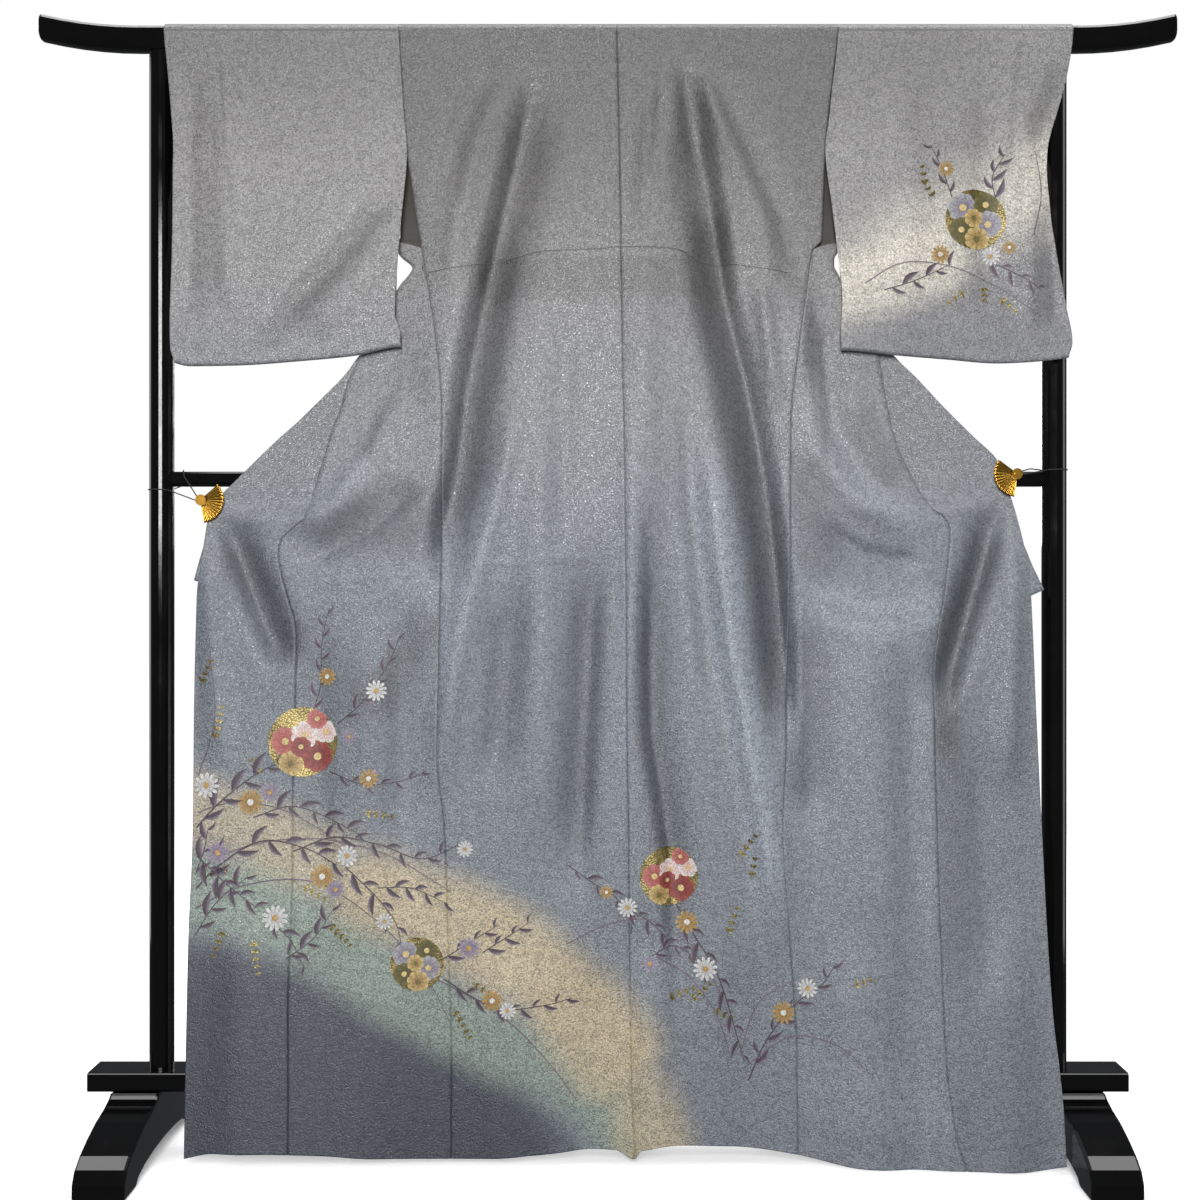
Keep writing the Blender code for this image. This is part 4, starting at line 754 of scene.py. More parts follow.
@dataclass(frozen=True)
class FiguredSilk:
    """Rinzu silk: a satin ground with small figures woven in, piece-dyed and then hand-shaded with dye,
    with painted shade and highlight also in its colour.

    The figures reflect the light another way than the ground, so they show as pale flecks in the
    satin's broad soft shine. They are about 9 mm across on a grain of crossing floats; the threads
    of a third of a millimetre are drawn 2.3 mm coarse, as fine as the picture can show.
    """

    name: str = "figured_silk_satin"
    grey: str = "838181"
    blue: str = "6F757D"
    cream: str = "B3A487"
    mint: str = "818F83"
    slate: str = "373B47"
    ivory: str = "C8C2B5"
    figure_mm: float = 9.0
    grain_mm: float = 2.3
    contrast: float = 0.5
    roughness: float = 0.4

    def material(self) -> bpy.types.Material:
        """Ground by height, dye from the attribute, painted shade and highlight from the depth attribute,
        flecks and grain from the weave map.
        """
        made = Finish(self.name)
        place = made.node("TexCoord").outputs["Object"]
        cloth = made.node("UVMap", {"uv_map": "weave"}).outputs[0]
        height = made.node("SeparateXYZ", None, s0=place).outputs[2]
        down = made.node("MapRange", {"interpolation_type": "SMOOTHSTEP", "in:From Min": 1.45,
                                      "in:From Max": 0.75}, s0=height).outputs[0]
        ground = made.blend(down, linear(self.grey), linear(self.blue))
        cloud = made.node("TexNoise", {"in:Scale": 9.0, "in:Detail": 3.0}, Vector=place).outputs[0]
        drift = made.math("MULTIPLY", made.math("SUBTRACT", cloud, 0.5), 0.7)
        dye = made.node("Attribute", {"attribute_name": "dye"})
        shares = made.node("SeparateColor", None, s0=dye.outputs["Color"]).outputs
        for share, color in ((shares[2], self.slate), (shares[1], self.mint), (shares[0], self.cream),
                             (dye.outputs["Alpha"], self.ivory)):
            rest = made.math("SUBTRACT", 1.0, share)
            edge = made.math("MULTIPLY", made.math("MULTIPLY", share, rest), 4.0)
            weight = made.math("ADD", share, made.math("MULTIPLY", edge, drift))
            ground = made.blend(weight, ground, linear(color))
        figure, grain = self.weave(made, cloth)
        tone = made.math("ADD", made.math("MULTIPLY", grain, 2.0 * self.contrast),
                         made.math("MULTIPLY", figure, 0.5 * self.contrast))
        tone = made.math("ADD", tone, 1.0 - 1.25 * self.contrast)
        # Painted shade and highlight: the depth attribute darkens the colour in the valleys and lightens it
        # on the ridges
        depth = made.node("Attribute", {"attribute_name": "depth"}).outputs["Fac"]
        tone = made.math("MULTIPLY", tone, made.math("SUBTRACT", 1.0, depth))
        color = made.node("Mix", {"data_type": "RGBA", "blend_type": "MULTIPLY", "in:Factor": 1.0},
                          s6=ground, s7=tone).outputs[2]
        made.link(color, "Base Color")
        relief = made.math("ADD", made.math("MULTIPLY", figure, 0.4), grain)
        made.bump(relief, 0.0006, 0.6)
        rough = made.node("MapRange", {"in:To Min": self.roughness + 0.06,
                                       "in:To Max": self.roughness - 0.08}, s0=grain).outputs[0]
        made.link(rough, "Roughness")
        made.set(Sheen_Weight=0.1, Sheen_Roughness=0.35, Specular_IOR_Level=1.0)
        return made.material

    def weave(self, made: Finish, cloth: bpy.types.NodeSocket) -> tuple:
        """Shares of figure and grain at each place of the weave map, each from 0 to 1."""
        drawn = made.node("TexNoise", {"in:Scale": 1.0 / (self.figure_mm * MM), "in:Detail": 1.0,
                                       "in:Distortion": 1.2}, Vector=cloth).outputs[0]
        figure = made.node("MapRange", {"interpolation_type": "SMOOTHSTEP", "in:From Min": 0.44,
                                        "in:From Max": 0.54}, s0=drawn).outputs[0]
        mottle = made.node("TexNoise", {"in:Scale": 1.0 / (self.grain_mm * MM), "in:Detail": 2.0,
                                        "in:Roughness": 0.65, "in:Distortion": 0.8},
                           Vector=cloth).outputs[0]
        grain = made.node("MapRange", {"in:From Min": 0.36, "in:From Max": 0.64}, s0=mottle).outputs[0]
        return figure, grain


@dataclass(frozen=True)
class LiningSilk:
    """Plain-woven lining silk, smooth and a little dull, in a dark olive brown, partly its own colour and
    partly painted shade of the shadowed slits where it shows.
    """

    name: str = "plain_lining_silk"
    # Dark olive brown: partly the lining's own colour, partly painted shade
    color: str = "39342B"
    shade: str = "2D2922"
    thread_mm: float = 0.5

    def material(self) -> bpy.types.Material:
        """Fine grain of warp and weft and a faint cloudiness from washing."""
        made = Finish(self.name)
        place = made.node("TexCoord").outputs["Object"]
        cloth = made.node("UVMap", {"uv_map": "weave"}).outputs[0]
        cloud = made.node("TexNoise", {"in:Scale": 14.0, "in:Detail": 3.0}, Vector=place).outputs[0]
        made.link(made.blend(cloud, linear(self.color), linear(self.shade)), "Base Color")
        threads = made.node("TexNoise", {"in:Scale": 1.0 / (self.thread_mm * MM), "in:Detail": 1.0},
                            Vector=cloth).outputs[0]
        made.bump(threads, 0.0002, 0.4)
        made.set(Roughness=0.6, Sheen_Weight=0.2)
        return made.material


@dataclass(frozen=True)
class DyePaste:
    """Hand-brushed dye and white pigment in resist outlines, with the silk's grain showing through."""

    name: str = "hand_painted_dye"
    grain_mm: float = 2.2
    contrast: float = 0.3

    def material(self) -> bpy.types.Material:
        """Colour from the attribute, broken up by the grain of the cloth below."""
        made = Finish(self.name)
        place = made.node("TexCoord").outputs["Object"]
        tint = made.node("Attribute", {"attribute_name": "tint"}).outputs["Color"]
        mottle = made.node("TexNoise", {"in:Scale": 1.0 / (self.grain_mm * MM), "in:Detail": 2.0},
                           Vector=place).outputs[0]
        tone = made.node("MapRange", {"in:From Min": 0.36, "in:From Max": 0.64,
                                      "in:To Min": 1.0 - self.contrast, "in:To Max": 1.0 + self.contrast},
                         s0=mottle).outputs[0]
        made.link(made.node("Mix", {"data_type": "RGBA", "blend_type": "MULTIPLY", "in:Factor": 1.0},
                            s6=tint, s7=tone).outputs[2], "Base Color")
        made.bump(mottle, 0.0003, 0.5)
        made.set(Roughness=0.55)
        return made.material


@dataclass(frozen=True)
class GoldLeaf:
    """Thin gold leaf and gold thread laid on the silk: broken, speckled and softly metallic."""

    name: str = "gold_leaf_on_silk"
    speck_mm: float = 2.6

    def material(self) -> bpy.types.Material:
        """Colour from the attribute, with specks where the leaf has worn through."""
        made = Finish(self.name)
        place = made.node("TexCoord").outputs["Object"]
        tint = made.node("Attribute", {"attribute_name": "tint"}).outputs["Color"]
        cells = made.node("TexVoronoi", {"in:Scale": 1.0 / (self.speck_mm * MM)}, Vector=place).outputs[0]
        tone = made.node("MapRange", {"in:From Min": 0.1, "in:From Max": 0.7, "in:To Min": 1.5,
                                      "in:To Max": 0.55}, s0=cells).outputs[0]
        made.link(made.node("Mix", {"data_type": "RGBA", "blend_type": "MULTIPLY", "in:Factor": 1.0},
                            s6=tint, s7=tone).outputs[2], "Base Color")
        made.bump(cells, 0.0006, 0.6)
        made.set(Metallic=0.6, Roughness=0.42)
        return made.material


@dataclass(frozen=True)
class Lacquer:
    """Black urethane lacquer on turned and planed softwood: a deep gloss with faint orange peel."""

    name: str = "black_gloss_lacquer"
    color: str = "040404"
    dust: str = "0A0A0B"

    def material(self) -> bpy.types.Material:
        """Near black with a slight waviness, rubbed a little duller in cloudy patches."""
        made = Finish(self.name)
        place = made.node("TexCoord").outputs["Object"]
        haze = made.node("TexNoise", {"in:Scale": 22.0, "in:Detail": 5.0}, Vector=place).outputs[0]
        made.link(made.blend(haze, linear(self.color), linear(self.dust)), "Base Color")
        rough = made.node("MapRange", {"in:From Min": 0.35, "in:From Max": 0.75, "in:To Min": 0.07,
                                       "in:To Max": 0.16}, s0=haze).outputs[0]
        made.link(rough, "Roughness")
        peel = made.node("TexNoise", {"in:Scale": 160.0, "in:Detail": 1.0}, Vector=place).outputs[0]
        made.bump(peel, 0.0003, 0.06)
        made.set(Specular_IOR_Level=0.4)
        return made.material


@dataclass(frozen=True)
class GiltMetal:
    """Gold-plated pressed brass with a bright, slightly worn surface."""

    name: str = "gold_plated_brass"
    bright: str = "D2A548"
    deep: str = "8F6420"

    def material(self) -> bpy.types.Material:
        """Deeper tone and more roughness in cloudy worn places."""
        made = Finish(self.name)
        place = made.node("TexCoord").outputs["Object"]
        wear = made.node("TexNoise", {"in:Scale": 260.0, "in:Detail": 4.0}, Vector=place).outputs[0]
        made.link(made.blend(wear, linear(self.bright), linear(self.deep)), "Base Color")
        rough = made.node("MapRange", {"in:To Min": 0.16, "in:To Max": 0.4}, s0=wear).outputs[0]
        made.link(rough, "Roughness")
        made.set(Metallic=1.0)
        return made.material


@dataclass(frozen=True)
class ElasticCord:
    """Thin braided elastic cord in dull black."""

    name: str = "braided_elastic_cord"
    dark: str = "17171A"
    pale: str = "34343A"

    def material(self) -> bpy.types.Material:
        """Braid of about a millimetre that shows as alternating light along the cord."""
        made = Finish(self.name)
        place = made.node("TexCoord").outputs["Object"]
        braid = made.node("TexVoronoi", {"in:Scale": 1100.0}, Vector=place).outputs[0]
        made.link(made.blend(braid, linear(self.pale), linear(self.dark)), "Base Color")
        made.bump(braid, 0.0002, 0.5)
        made.set(Roughness=0.75)
        return made.material


@dataclass
class Finishes:
    """All finishes of the object, made once."""

    silk: bpy.types.Material = field(default_factory=lambda: FiguredSilk().material())
    lining: bpy.types.Material = field(default_factory=lambda: LiningSilk().material())
    lacquer: bpy.types.Material = field(default_factory=lambda: Lacquer().material())
    gilt: bpy.types.Material = field(default_factory=lambda: GiltMetal().material())
    cord: bpy.types.Material = field(default_factory=lambda: ElasticCord().material())
    paint: bpy.types.Material = field(default_factory=lambda: DyePaste().material())
    leaf: bpy.types.Material = field(default_factory=lambda: GoldLeaf().material())


def ride_as(piece: bpy.types.Object, slot: Slot, *nodes: str) -> None:
    """Lets a piece ride on the one body and hides the nodes that it stands for."""
    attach(piece, "root")
    if nodes:
        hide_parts(*nodes)
    LOG.info("%s: %d faces", piece.name, len(piece.data.polygons))


@dataclass
class BackPanel:
    """Back body panel, from the shoulder line on the bar's far side over the bar to the hem."""

    side: Side
    thickness: float = 1.3
    step: float = 5.0

    def grid(self) -> Array:
        """Outer face: each row runs from the centre seam to the side edge at its own height."""
        d, sign = DRAPE, self.side.value
        share = spaced(0.0, 1.0, self.step / 280.0, 0.004)[None]
        wrap = d.wrap_path()[:-1]
        far_z = np.concatenate([np.arange(d.shoulder_z, 1640.0, 6.0), [z for _, z in wrap]])
        far_y = np.concatenate([np.full(len(far_z) - len(wrap), d.wrap_y), [y for y, _ in wrap]])
        z, y = far_z[:, None], far_y[:, None]
        inner = d.body.at("centre", z) + sign * d.gap / 2
        x = mix(inner, sign * (d.side_edge(self.side, y, z) - d.gap / 2), share)
        lying = (z < d.body_top_z) & (y > 0)
        far = np.stack([x, np.where(lying, d.far_y(x, z), y + 0 * x), z + 0 * x], axis=2)
        level = spaced(d.body_top_z, 0.0, self.step)[:, None]
        inner = d.body.at("centre", level) + sign * d.gap / 2
        x = mix(inner, sign * (d.side_edge(self.side, -d.wrap_y, level) - d.gap / 2), share)
        z = d.settle(x, level)
        return np.concatenate([far, np.stack([x, d.near_y(x, z), z], axis=2)])

    def build(self, finishes: Finishes) -> bpy.types.Object:
        """Makes the panel in silk with its lining."""
        grid = self.grid()
        normal = walls(grid, self.side.value, False)
        normal[:, (0, -1), 0] = 0.0
        normal /= np.linalg.norm(normal, axis=2, keepdims=True)
        over = grid[:, 0, 1] > DRAPE.near_y(0.0, DRAPE.body_top_z)
        sewn = np.where(over[:, None, None], grid, sew(grid, (1.0, 1.0)))
        cloth = Cloth("silk_back_" + self.side.word, sewn, -normal * self.thickness)
        piece = cloth.build([finishes.silk, finishes.lining, finishes.silk])
        ride_as(piece, Slot.SILK, "back_" + self.side.word)
        return piece


@dataclass
class FrontPanel:
    """Front body panel: hangs on the far side, folds under the arm and comes round to the near side."""

    side: Side
    thickness: float = 1.3
    step: float = 5.0
    columns: int = 64
    samples: int = 90
    turn_samples: int = 14

    def row(self, level: float) -> Array:
        """One row as a dense line of o and y, from the side edge to the okumi seam.

        Above the underarm it lies on the far side only. Below, it runs out over the near face, turns
        back at the fold edge in a half round, and ends at the okumi seam behind it.

        Args:
            level: Height of the row.

        Returns:
            Points of the line, count by 2.
        """
        d, sign = DRAPE, self.side.value
        end = float(d.okumi_seam[self.side].at("o", level))
        high, low = d.okumi_merge[self.side]
        closing = float(ramp(high, low, level))
        if level >= d.free_edge_z:
            turned = float(d.fold_edge[self.side].at("o", d.free_edge_z)) - d.fold_turn
            start = float(mix(d.far_edge[self.side], turned, ramp(1400.0, d.free_edge_z, level)))
            o = np.linspace(start - d.gap / 2, end, self.samples)
            return np.stack([o, d.far_y(sign * o, np.full_like(o, level))], axis=1)
        start = float(d.side_edge(self.side, -d.wrap_y, min(level, d.side_seam_top))) + d.gap / 2
        if level <= low:
            o = np.linspace(start, end - d.gap / 2, self.samples)
            return np.stack([o, d.near_y(sign * o, np.full_like(o, level))], axis=1)
        fold = max(float(d.fold_edge[self.side].at("o", level)), end)
        turn = min(d.fold_turn, 0.4 * (fold - start)) * mix(1.0, 0.1, closing)
        near_o = np.linspace(start, fold - turn, self.samples)
        near = np.stack([near_o, d.near_y(sign * near_o, np.full_like(near_o, level))], axis=1)
        far_o = np.linspace(fold - turn, min(end, fold - turn - 0.5), self.samples // 2)
        layer = d.gap * (1.0 - closing) if level < d.okumi_top + 20.0 else 0.0
        far_y = d.okumi_y(self.side, sign * far_o, np.full_like(far_o, level)) - layer
        far = np.stack([far_o, far_y], axis=1)
        swing = np.linspace(0.0, math.pi, self.turn_samples)[1:-1]
        middle, half = (near[-1, 1] + far[0, 1]) / 2, (far[0, 1] - near[-1, 1]) / 2
        bend = np.stack([fold - turn + turn * np.sin(swing), middle - half * np.cos(swing)], axis=1)
        line = np.concatenate([near, bend, far])
        travelled = np.concatenate([[0.0], np.cumsum(np.hypot(*np.diff(line, axis=0).T))])
        turned = travelled[self.samples + self.turn_samples - 2]
        skipped = turned * float(ramp(d.side_seam_top, d.free_edge_z, level))
        cut = np.linspace(skipped, travelled[-1], 2 * self.samples)
        return np.stack([np.interp(cut, travelled, line[:, i]) for i in range(2)], axis=1)

    def spread(self, line: Array) -> Array:
        """Points at equal steps along a line, with a narrow step at each end for the rim."""
        travelled = np.concatenate([[0.0], np.cumsum(np.hypot(*np.diff(line, axis=0).T))])
        cut = spaced(0.0, travelled[-1], travelled[-1] / self.columns)
        return np.stack([np.interp(cut, travelled, line[:, i]) for i in range(2)], axis=1)

    def grid(self) -> Array:
        """Outer face from rows at falling heights, close together where the panel turns."""
        d, sign = DRAPE, self.side.value
        low = d.okumi_merge[self.side][1]
        levels = np.concatenate([
            np.arange(d.shoulder_z - d.gap, 1352.0, -self.step), np.arange(1350.0, 1285.0, -2.0),
            np.arange(1285.0, 4.0, -self.step), [1.2, 0.0]])
        lines = np.array([self.spread(self.row(float(level))) for level in levels])
        x, level = sign * lines[:, :, 0], levels[:, None]
        z = d.settle(x, level)
        y = np.where(level <= low, d.near_y(x, z), lines[:, :, 1])
        return np.stack([x, y, z], axis=2)

    def build(self, finishes: Finishes) -> bpy.types.Object:
        """Makes the panel in silk with its lining."""
        grid = self.grid()
        heights = grid[:, 0, 2]
        normal = walls(grid, self.side.value, False)
        normal[:, 0, 0] *= ramp(DRAPE.side_seam_top, DRAPE.free_edge_z, heights)
        normal[heights <= DRAPE.okumi_merge[self.side][1], -1, 0] = 0.0
        normal /= np.linalg.norm(normal, axis=2, keepdims=True)
        sewn = np.where(heights[:, None, None] > DRAPE.side_seam_top, grid, sew(grid, (1.0, 0.0)))
        low = heights[:, None, None] <= DRAPE.okumi_merge[self.side][1]
        sewn = np.where(low, sew(sewn, (0.0, 1.0)), sewn)
        cloth = Cloth("silk_front_" + self.side.word, sewn, -normal * self.thickness)
        piece = cloth.build([finishes.silk, finishes.lining, finishes.silk])
        ride_as(piece, Slot.SILK, "front_" + self.side.word)
        return piece


@dataclass
class OkumiPanel:
    """Overlap panel between its seam and the front edge: a long wedge that starts at the collar."""

    side: Side
    thickness: float = 1.3
    step: float = 5.0

    def grid(self) -> Array:
        """Outer face: each row runs from the okumi seam to the front edge at its own height."""
        d, sign = DRAPE, self.side.value
        high, low = d.okumi_merge[self.side]
        share = spaced(0.0, 1.0, self.step / 150.0, 0.008)[None]
        level = spaced(1312.0, 0.0, self.step)[:, None]
        closing = ramp(high, low, level)
        clear = d.gap / 2 + 10.0 * closing * (1.0 - closing)
        inner = d.okumi_seam[self.side].at("o", level) + clear
        x = sign * mix(inner, d.front_edge[self.side].at("o", level), share)
        z = d.settle(x, level)
        return np.stack([x, d.okumi_y(self.side, x, z), z], axis=2)

    def build(self, finishes: Finishes) -> bpy.types.Object:
        """Makes the panel in silk with its lining."""
        grid = self.grid()
        normal = walls(grid, self.side.value, False)
        normal[:, 0, 0] = 0.0
        normal /= np.linalg.norm(normal, axis=2, keepdims=True)
        low = grid[:, :1, 2:] <= DRAPE.okumi_merge[self.side][1]
        sewn = np.where(low, sew(grid, (1.0, 0.0)), grid)
        cloth = Cloth("silk_okumi_" + self.side.word, sewn, -normal * self.thickness)
        piece = cloth.build([finishes.silk, finishes.lining, finishes.silk])
        ride_as(piece, Slot.SILK, "okumi_" + self.side.word)
        return piece


@dataclass
class Sleeve:
    """Sleeve bag round the bar: down its near layer, round the bottom, up its far layer, over the bar."""

    side: Side
    thickness: float = 1.3
    step: float = 5.0
    low: float = 1160.0
    join: float = 80.0

    edges = {
        Side.LEFT: Table("z near_inner far_inner near_outer far_outer", (
            (1646, 307, 304, 650, 650), (1560, 301, 304, 641, 641), (1530, 299, 304, 638, 636),
            (1468, 294, 304, 633, 633), (1330, 303, 307, 632, 632), (1213, 309, 309, 635, 635),
            (1180, 301, 301, 634, 634), (1160, 301, 301, 626, 626))),
        Side.RIGHT: Table("z near_inner far_inner near_outer far_outer", (
            (1646, 338, 333.5, 681, 681), (1606, 334, 333.5, 676, 676), (1560, 328, 333.5, 666, 655),
            (1530, 325, 333.5, 657, 636), (1468, 318, 333.5, 640, 634), (1440, 320, 336, 638, 636),
            (1329, 332, 337, 650, 648), (1241, 340, 340, 664, 663), (1183, 338, 338, 673, 672),
            (1160, 338, 338, 666, 666))),
    }
    depth = Table("z near far far_outer", (
        (1646, -18, 18, 18), (1625, -20.4, 18, 20.4), (1600, -20.4, 18, 20.4),
        (1560, -22.5, 17, 20.4), (1530, -24.5, 14, 17), (1500, -27, 8, 2), (1470, -30, 2, -14),
        (1448, -33, -2, -22.5), (1400, -36, -12, -24.5), (1340, -40, -20, -27),
        (1290, -42, -26, -29), (1230, -42, -28, -31), (1160, -42, -34, -36)))
    bottom = Table("x z", (
        (-640, 1158), (-607, 1150), (-540, 1151), (-440, 1158), (-370, 1165), (-301, 1178),
        (345, 1173), (417, 1166), (489, 1160), (567, 1154), (628, 1157), (680, 1164)))
    waves = (
        Fold(-8, 22, ((-305, 1420), (-390, 1310), (-500, 1200))),
        Fold(6, 26, ((-300, 1360), (-370, 1270), (-440, 1190))),
        Fold(-6, 16, ((-606, 1600), (-612, 1480), (-606, 1330), (-612, 1200))),
        Fold(6, 18, ((-560, 1560), (-556, 1400), (-548, 1220))),
        Fold(9, 18, ((610, 1560), (606, 1450), (612, 1300), (618, 1180))),
        Fold(-8, 16, ((640, 1400), (644, 1300), (652, 1190))),
        Fold(-6, 22, ((560, 1590), (548, 1420), (552, 1220))),
        Fold(5, 26, ((420, 1600), (440, 1420), (430, 1230))),
    )

    def layer(self, which: str, level: Array, share: Array) -> Array:
        """Rows of one layer; by the armhole it lies in one face with the body.

        Args:
            which: near or far.
            level: Heights of the rows, as a column.
            share: Shares from the inner to the outer edge, as a row.

        Returns:
            Points, rows by columns by 3.
        """
        d, sign = DRAPE, self.side.value
        edges = self.edges[self.side]
        inner = edges.at(which + "_inner", level) + d.gap
        o = mix(inner, edges.at(which + "_outer", level), share)
        x = sign * o
        z = level + (self.bottom.at("z", x) - self.low) * ramp(1340.0, self.low, level)
        return np.stack([x, self.face(which, x, z, inner), z], axis=2)

    def face(self, which: str, x: Array, z: Array, inner: Array) -> Array:
        """Depth of a layer's outer face, beyond the inner edge that it is sewn or hangs at."""
        d, o = DRAPE, np.abs(x)
        relief = sum(wave.relief(x, z) for wave in self.waves)
        if which == "near":
            free, joined = self.depth.at("near", z), d.near_y(x, z)
        else:
            cuff = ramp(540.0, 620.0, o) if self.side is Side.RIGHT else 0.0
            free = mix(self.depth.at("far", z), self.depth.at("far_outer", z), cuff)
            joined = d.far_y(x, z)
            relief = relief * 0.4 * ramp(1300.0, 1240.0, z)
        loose = np.maximum(ramp(0.0, self.join, o - inner), ramp(d.armhole_z, d.armhole_z - self.join, z))
        return mix(joined, free - relief * ramp(self.low, 1230.0, z), loose)

    def near_face(self, x: Array, z: Array) -> Array:
        """Depth of the near layer, for what is painted on it."""
        return self.face("near", x, z, self.edges[self.side].at("near_inner", z) + DRAPE.gap)

    def grid(self) -> Array:
        """Closed loop of rows: near layer, round fold at the bottom, far layer, over the bar."""
        d = DRAPE
        share = spaced(0.0, 1.0, self.step / 330.0, 0.004)[None]
        level = np.linspace(d.body_top_z, 1167.0, int(480 / self.step))[:, None]
        near = self.layer("near", level, share)
        far = self.layer("far", level[::-1], share)
        turns = np.linspace(0.0, math.pi, 8)[1:-1, None]
        middle, half = (near[-1] + far[0]) / 2, (far[0] - near[-1]) / 2
        fold = middle[None] - np.cos(turns)[:, :, None] * half[None]
        fold[:, :, 2] -= 5.0 * np.sin(turns)
        path = d.wrap_path()[1:-1]
        weight = np.array([(d.wrap_y - y) / (2 * d.wrap_y) for y, _ in path])[:, None, None]
        over = mix(far[-1][None], near[0][None], weight)
        over[:, :, 1] = np.array([y for y, _ in path])[:, None]
        over[:, :, 2] = np.array([z for _, z in path])[:, None]
        return np.concatenate([near, fold, far, over])

    def build(self, finishes: Finishes) -> bpy.types.Object:
        """Makes the sleeve in silk with its lining."""
        grid = self.grid()
        normal = walls(grid, self.side.value, True)
        normal[:, 0, 0] = 0.0
        normal /= np.linalg.norm(normal, axis=2, keepdims=True)
        cloth = Cloth("silk_sleeve_" + self.side.word, grid, -normal * self.thickness, closed=True)
        piece = cloth.build([finishes.silk, finishes.lining, finishes.silk])
        ride_as(piece, Slot.SILK, "sleeve_" + self.side.word)
        return piece


@dataclass
class Collar:
    """Folded band behind the neck edge and the front edges, its width always on the inner side."""

    width: float = 55.0
    thickness: float = 2.4
    sections: int = 420
    across: int = 12
    smooth: int = 61
    clear: float = 16.0
    set_back: float = 2.0
    edge: Route = (
        (-600, 842), (-590, 880), (-580, 922), (-575, 953), (-559, 967), (-484, 1042), (-378, 1149),
        (-282, 1260), (-200, 1362), (-132, 1450), (-91, 1508), (-76, 1545), (-50, 1572), (-15, 1581),
        (13, 1582), (41, 1581), (76, 1572), (103, 1545), (120, 1508), (176, 1450), (255, 1362),
        (339, 1260), (446, 1141), (528, 1053), (565, 1014), (576, 989), (585, 960), (601, 900),
        (616, 862), (632, 828),
    )

    def depth(self, side: Side, x: Array, z: Array) -> Array:
        """Near face: behind the hindmost place of the okumi within the clear distance."""
        steps = (-self.clear, 0.0, self.clear)
        places = [DRAPE.okumi_y(side, x + dx, z + dz) for dx in steps for dz in steps]
        return np.max(places, axis=0) + self.set_back + DRAPE.gap

    def grid(self) -> Array:
        """Near face: the outer edge's line and its copies moved across by the band's width."""
        edge = np.array(self.edge, float)
        travelled = np.concatenate([[0.0], np.cumsum(np.hypot(*np.diff(edge, axis=0).T))])
        place = np.linspace(0.0, travelled[-1], self.sections)
        x, z = (np.interp(place, travelled, edge[:, i]) for i in range(2))
        kernel = np.hanning(self.smooth + 2)[1:-1]
        kernel /= kernel.sum()
        angle = np.unwrap(np.arctan2(np.gradient(z), np.gradient(x)))
        angle = np.convolve(np.pad(angle, self.smooth // 2, mode="edge"), kernel, mode="valid")
        share = spaced(0.0, 1.0, 1.0 / self.across, 0.02)[None]
        px = x[:, None] + share * self.width * np.sin(angle)[:, None]
        pz = z[:, None] - share * self.width * np.cos(angle)[:, None]
        behind = np.where(px < DRAPE.neck_x, self.depth(Side.LEFT, px, pz),
                          self.depth(Side.RIGHT, px, pz))
        y = behind - self.set_back * ramp(1330.0, 1410.0, z)[:, None]
        return np.stack([px, y, pz], axis=2)

    def build(self, finishes: Finishes) -> bpy.types.Object:
        """Makes the band in silk on both faces."""
        grid = self.grid()
        inward = np.zeros_like(grid)
        inward[:, :, 1] = self.thickness
        cloth = Cloth("silk_collar", grid, inward)
        piece = cloth.build([finishes.silk, finishes.silk, finishes.silk])
        ride_as(piece, Slot.COLLAR, "collar")
        return piece


class Pigment(Enum):
    """Pigments and metals of the hand-painted pattern, and the colour of a painted shadow line, as sRGB."""

    PLUM = "463A42"
    DUSK = "7B7280"
    GRASS = "6A5D68"
    # Painted shadow line along the edge of the tuck
    SEAM = "4C4D52"
    WHITE = "CDCDC9"
    PEARL = "A5A4A6"
    OCHRE = "AE8C52"
    AMBER = "86693A"
    LILAC = "978C9E"
    MAUVE = "746B7C"
    RED = "984A42"
    WINE = "6E2F30"
    ROSE = "B8736F"
    BLUSH = "CDA9A5"
    STRAW = "C9B27A"
    OLIVE = "6B6234"
    MOSS = "4C4726"
    GOLD = "9F8E5C"
    OLD_GOLD = "756A42"

    @property
    def tint(self) -> Array:
        """Linear red, green, blue and alpha."""
        return np.array(linear(self.value))


def smooth_route(points: Route, step: float = 4.0) -> Array:
    """Places along a smooth curve through points: the uniform Catmull-Rom cubic.

    Args:
        points: Corner points in millimetres.
        step: Distance between places, about.

    Returns:
        Places, count by 2.
    """
    p = np.array(points, float)
    p = np.concatenate([[2 * p[0] - p[1]], p, [2 * p[-1] - p[-2]]])
    pieces = []
    for i in range(1, len(p) - 2):
        count = max(int(np.hypot(*(p[i + 1] - p[i])) / step), 2)
        t = np.linspace(0.0, 1.0, count, endpoint=False)[:, None]
        pieces.append(0.5 * (
            2 * p[i] + (p[i + 1] - p[i - 1]) * t
            + (2 * p[i - 1] - 5 * p[i] + 4 * p[i + 1] - p[i + 2]) * t**2
            + (3 * p[i] - p[i - 1] - 3 * p[i + 1] + p[i + 2]) * t**3))
    return np.concatenate([*pieces, p[-2:-1]])


def turned(shape: Array, centre: tuple[float, float], angle: float) -> Array:
    """Flat shape turned by an angle in degrees and moved to a centre."""
    c, s = math.cos(math.radians(angle)), math.sin(math.radians(angle))
    return np.array(centre) + shape @ np.array([[c, s], [-s, c]])


